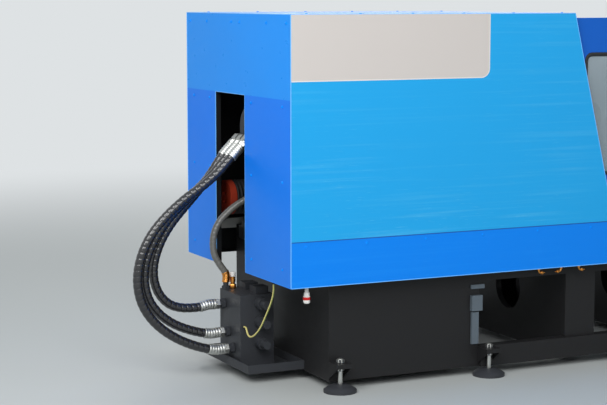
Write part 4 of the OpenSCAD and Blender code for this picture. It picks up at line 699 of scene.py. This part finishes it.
def thin_plate(outline, depth, name, material, slot=None, edge=0.0004, side=-1):
    """Plate from an outline in a side plane, depth outwards, with a small edge round; on side 1 the
    outline is mirrored in y and runs the other way."""
    if side > 0:
        outline = outline[::-1] * np.array([1, -1, 1])
    away = outline.mean(0) - outline
    away /= np.maximum(np.linalg.norm(away, axis=1, keepdims=True), 1e-9)
    rings = [outline + away * inset + np.array([0, side * out, 0])
             for inset, out in ((0, 0), (0, depth - edge), (edge, depth))]
    Skin().grid(np.stack(rings)).make(name, material, BASE, slot=slot)


for name, key, border, depth in (("side_name_band_edge", "band_edge", BAND_BORDER, 0.0008),
                                 ("side_name_band", "band", 0, 0.0014)):
    outline = flat_outline(2, BAND_END + border, BAND_LOW - border, COVER_TOP - 2,
                           (2, BAND_CORNER + border, 2, 2), -COVER_Y)
    thin_plate(outline, depth, name, M[key])
# Thin dark strips along the seam stand in for its shadow: painted shadow
for side, place in ((-1, "front"), (1, "rear")):
    outline = flat_outline(4, SEAM_END, SEAM_LOW, SEAM_HIGH, (1, 1, 1, 1), -COVER_Y)
    thin_plate(outline, 0.0009, f"cover_seam_strip_{place}", M["seam"], slot="rubber_black", side=side)


def edge_bead(skin, start, end, side, r):
    """Folded edge of a sheet: a bead of radius r along a straight line, with rounded ends where the
    radius is r sqrt(1 - ((r - s) / r)^2) over the last r of its length."""
    length = np.linalg.norm(end - start)
    middle = np.linspace(r, length - r, 3)[1:-1]
    s = np.concatenate([np.linspace(0, r, 6), middle, np.linspace(length - r, length, 6)])
    near = np.minimum(np.minimum(s, length - s), r)
    radius = np.maximum(r * np.sqrt(np.clip(1 - ((r - near) / r) ** 2, 0, 1)), r * 0.05)
    line = start[None] + (s / length)[:, None] * (end - start)[None]
    skin.grid(swept(line, side, circle(1.0, 12), radius))


folds = Skin()
for y in (-BEAD_Y, BEAD_Y):
    edge_bead(folds, at(BEAD_U, y, SKIRT_LOW + 2), at(BEAD_U, y, COVER_TOP - 2), ALONG, CORNER_BEAD_R)
    edge_bead(folds, at(3, y, BEAD_TOP), at(RAKE_TOP_U - 3, y, BEAD_TOP), UP, BEAD_R)
    edge_bead(folds, at(3, y, BEAD_LOW), at(SKIRT_END, y, BEAD_LOW), UP, BEAD_R)
edge_bead(folds, at(BEAD_U, -746, BEAD_TOP), at(BEAD_U, 746, BEAD_TOP), UP, BEAD_R)
for y in (-RAKE_Y, RAKE_Y):
    edge_bead(folds, at(RAKE_TOP_U, y, COVER_TOP - 3), at(RAKE_LOW_U, y, SEAM_HIGH + 1), ACROSS, BEAD_R)
for y in (SLOT_LEFT, SLOT_RIGHT):
    edge_bead(folds, at(SLOT_U, y, SKIRT_LOW + 2), at(SLOT_U, y, SLOT_TOP - 1.5), ALONG, SLOT_BEAD_R)
edge_bead(folds, at(SLOT_U, SLOT_LEFT + 2, SLOT_TOP), at(SLOT_U, SLOT_RIGHT - 2, SLOT_TOP), UP,
          SLOT_BEAD_R)
# The beads are painted a lighter blue as a painted highlight on the folded edges
folds.make("cover_folded_edges", M["fold"], BASE, slot="cover_paint")


# Small metal parts: foot studs, fittings below the skirt, screws of the covers

# Rows of feet as (y, places along u) under the clamp bed and the injection bed
FOOT_ROWS = ((700, (325, 1291, 2257)), (650, (3223, 4189, 5155, 6121)))
FOOT_NUTS, FOOT_NUT_R, FOOT_NUT_HEIGHT = (0.1196, 0.1652), 0.0224, 0.0202

# Grease fittings as (u, direction they point in)
GREASE_PLACES = ((1610, 0.0), (1765, math.pi), (1890, 0.0))
GREASE_Y, GREASE_BEND_R, GREASE_NUT = -722, 0.016, 0.012

# Screws of the end cover as (y, z), first on its header and then on its legs
END_SCREWS = [(y, 2040) for y in (-60, 60, -690, 690, -430, 430)]
END_SCREWS += [(y, z) for y in (-640, -220, 390, 640) for z in (700, 1180, 1590)]
END_SCREW_R, SIDE_SCREW_R, TOP_SCREW_R = 0.008, 0.007, 0.008


def stud_set(skin, u, y):
    """Bright stud of a levelling foot with its two hexagon nuts and a domed end."""
    c = at(u, y, 0)
    stations = np.array([44.5, 45, 117, 118, 165, 188, 189.5, 190.2]) / 1000.0
    radii = [0.0125, 0.0126, 0.0126, 0.0126, 0.0126, 0.0126, 0.0095, 0.002]
    skin.grid(turned(c, UP, stations, radii, 24))
    for z in FOOT_NUTS:
        hex_nut(skin, c + np.array([0, 0, z]), UP, FOOT_NUT_R, FOOT_NUT_HEIGHT)


studs = Skin()
for side in (-1, 1):
    for y, row in FOOT_ROWS:
        for u in row:
            stud_set(studs, u, side * y)
studs.make("levelling_studs", M["fitting"], BASE, slot="fitting_steel")


def grease_fitting(skin, u, y, z, turn):
    """Small elbow that hangs from a flange: a hexagon, a quarter bend c(t) = R ((1 - cos t) e
    - sin t up) towards e = (cos turn, sin turn, 0), and a short union nut."""
    top = at(u, y, z)
    hex_nut(skin, top, DOWN, 0.0105, GREASE_NUT)
    t = np.linspace(0, np.pi / 2, 10)
    way = np.array([math.cos(turn), math.sin(turn), 0.0])
    bend = np.stack([(1 - np.cos(t)) * way[0], (1 - np.cos(t)) * way[1], -np.sin(t)], 1)
    line = top + np.array([0, 0, -GREASE_NUT]) + bend * GREASE_BEND_R
    skin.grid(swept(line, (-way[1], way[0], 0), circle(0.0062, 16)))
    hex_nut(skin, line[-1], way, 0.0098, 0.014)
    skin.grid(turned(line[-1] + way * 0.014, way, [0, 0.012, 0.013], [0.0032, 0.0032, 0.001], 12))


grease = Skin()
for u, turn in GREASE_PLACES:
    grease_fitting(grease, u, GREASE_Y, SKIRT_LOW, turn)
grease.make("skirt_grease_fittings", M["brass"], BASE, slot="bronze")


def pan_screw(skin, place, out, r):
    """Low domed screw head: height h at the share s of its radius r, from the rim to the crown,
    with a round socket sunk in the crown."""
    s = np.array([1.0, 1.0, 0.93, 0.8, 0.62, 0.5, 0.46])
    h = np.array([0.0, 0.22, 0.4, 0.5, 0.55, 0.56, 0.2]) * r
    skin.grid(turned(place, out, h, s * r, 18))


screws = Skin()
for y, z in END_SCREWS:
    pan_screw(screws, at(0, y, z), (-1, 0, 0), END_SCREW_R)
for side in (-1, 1):
    for u in np.linspace(90, 2700, 8):
        pan_screw(screws, at(u, side * COVER_Y, 836), (0, side, 0), SIDE_SCREW_R)
    for u in np.linspace(120, 1760, 6):
        pan_screw(screws, at(u, side * 690, COVER_TOP), UP, TOP_SCREW_R)
screws.make("cover_screws", M["header"], BASE, slot="cover_paint")


# Plug with a red collar that hangs below the corner of the skirt

plug_top = at(118, -700, 608)
plug = Skin().grid(turned(plug_top, DOWN, [0, 0, 0.03, 0.032, 0.05, 0.052, 0.085, 0.092, 0.094],
                          [0.002, 0.010, 0.011, 0.016, 0.016, 0.019, 0.019, 0.014, 0.004], 28))
plug.make("corner_plug_body", M["white"], BASE)
collar = Skin().grid(turned(plug_top + np.array([0, 0, -0.056]), DOWN, [0, 0, 0.016, 0.016],
                            [0.0185, 0.0205, 0.0205, 0.0185], 28))
collar.make("corner_plug_collar", M["button"], BASE)


# Window seal of the front safety door: the window's edges are in millimetres (u, u, z, z)

WINDOW, WINDOW_CORNER, DOOR_Y = (1910, 2610, 1150, 1850), 40, -730


def ring_seal(skin, outline, width, depth):
    """Closed rubber profile along an outline in a side plane: at each point, a half-round section
    (-cos a width / 2, sin a depth) on n = t x out and out, where out points to the operator."""
    out = np.array([0, -1.0, 0])
    t = np.roll(outline, -1, 0) - np.roll(outline, 1, 0)
    t /= np.linalg.norm(t, axis=1, keepdims=True)
    n = np.cross(t, out)
    a = np.linspace(0, np.pi, 9)
    section = np.stack([-np.cos(a) * width / 2, np.sin(a) * depth], 1)
    p = outline[:, None] + section[None, :, :1] * n[:, None] + section[None, :, 1:] * out
    skin.grid(np.vstack([p, p[:1]]), capped=False)


seal = Skin()
window_edge = flat_outline(*WINDOW, (WINDOW_CORNER,) * 4, DOOR_Y, 12)
ring_seal(seal, window_edge, width=0.022, depth=0.007)
seal.make("front_window_seal", M["rubber"], "front_door_unit", slot="rubber_black")


# Floor, light and background: the floor's half width and the radii of its fade are in metres

FLOOR_HALF = 80.0
FADE_STRETCH, FADE_START, FADE_END = 1.5, 4.5, 12.0


def seen_node(tree):
    """1 for the rays of the camera, of mirrors and of clear panes, 0 for those that light."""
    path = tree.nodes.new("ShaderNodeLightPath")
    through = math_node(tree, "MAXIMUM", path.outputs["Is Glossy Ray"],
                        path.outputs["Is Transmission Ray"])
    return math_node(tree, "MAXIMUM", path.outputs["Is Camera Ray"], through)


def mix_to_output(tree, factor, first, second, output):
    """Two shaders, mixed by a factor, on the tree's output."""
    mix = tree.nodes.new("ShaderNodeMixShader")
    for value, socket in zip((factor, first, second), mix.inputs):
        tree.links.new(value, socket)
    tree.links.new(mix.outputs[0], tree.nodes[output].inputs["Surface"])


def plain_floor():
    """Level square floor in a plain pale finish that goes over into the pale backdrop where
    r = sqrt((x / FADE_STRETCH)^2 + y^2) runs from FADE_START to FADE_END."""
    half = FLOOR_HALF
    corners = [(-half, -half, 0), (half, -half, 0), (half, half, 0), (-half, half, 0)]
    mesh = bpy.data.meshes.new("studio_floor")
    mesh.from_pydata(corners, [], [(0, 1, 2, 3)])
    floor = bpy.data.objects.new("studio_floor", mesh)
    bpy.context.scene.collection.objects.link(floor)
    material = grained("studio_floor_finish", (186, 190, 188), scale=0.9, tone=0.05, rough=0.6,
                       bump=0.0)
    tree = material.node_tree
    x, y, _ = place_node(tree)
    wide = math_node(tree, "POWER", math_node(tree, "DIVIDE", x, FADE_STRETCH), 2.0)
    r = math_node(tree, "SQRT", math_node(tree, "ADD", wide, math_node(tree, "POWER", y, 2.0)))
    far = tree.nodes.new("ShaderNodeMapRange")
    far.interpolation_type = "SMOOTHSTEP"
    for value, label in ((r, "Value"), (FADE_START, "From Min"), (FADE_END, "From Max")):
        feed(tree, value, far.inputs[label])
    backdrop = tree.nodes.new("ShaderNodeEmission")
    backdrop.inputs["Color"].default_value = linear(BACKDROP)
    factor = math_node(tree, "MULTIPLY", far.outputs[0], seen_node(tree))
    mix_to_output(tree, factor, tree.nodes["Principled BSDF"].outputs[0], backdrop.outputs[0],
                  "Material Output")
    mesh.materials.append(material)


def lamp(name, place, aim, size, power):
    """Square area lamp that points from its place to its aim."""
    data = bpy.data.lights.new(name, "AREA")
    data.shape, data.size, data.energy = "SQUARE", size, power
    obj = bpy.data.objects.new(name, data)
    bpy.context.scene.collection.objects.link(obj)
    way = np.array(aim, float) - np.array(place, float)
    obj.location = place
    obj.rotation_euler = (math.acos(-way[2] / np.linalg.norm(way)), 0.0, math.atan2(-way[0], way[1]))


def pale_world(light, seen, strength):
    """World of one colour for light and another for the camera, mirrors and clear panes."""
    world = bpy.data.worlds.new("studio_world")
    bpy.context.scene.world = world
    world.use_nodes = True
    tree = world.node_tree
    background = tree.nodes["Background"]
    background.inputs["Color"].default_value = light
    background.inputs["Strength"].default_value = strength
    shown = tree.nodes.new("ShaderNodeBackground")
    shown.inputs["Color"].default_value = seen
    mix_to_output(tree, seen_node(tree), background.outputs[0], shown.outputs[0], "World Output")


plain_floor()
lamp("key_light", place=(-5.0, -9.0, 6.0), aim=(-1.8, -0.7, 1.1), size=5.0, power=440.0)
lamp("side_light", place=(-8.6, -4.2, 6.2), aim=(-3.0, -0.2, 1.3), size=4.5, power=430.0)
lamp("back_light", place=(3.0, 8.0, 7.0), aim=(0.0, 0.0, 1.2), size=5.0, power=300.0)
pale_world(light=linear((232, 238, 246)), seen=linear(BACKDROP), strength=0.45)
bpy.context.scene.view_settings.view_transform = "Standard"
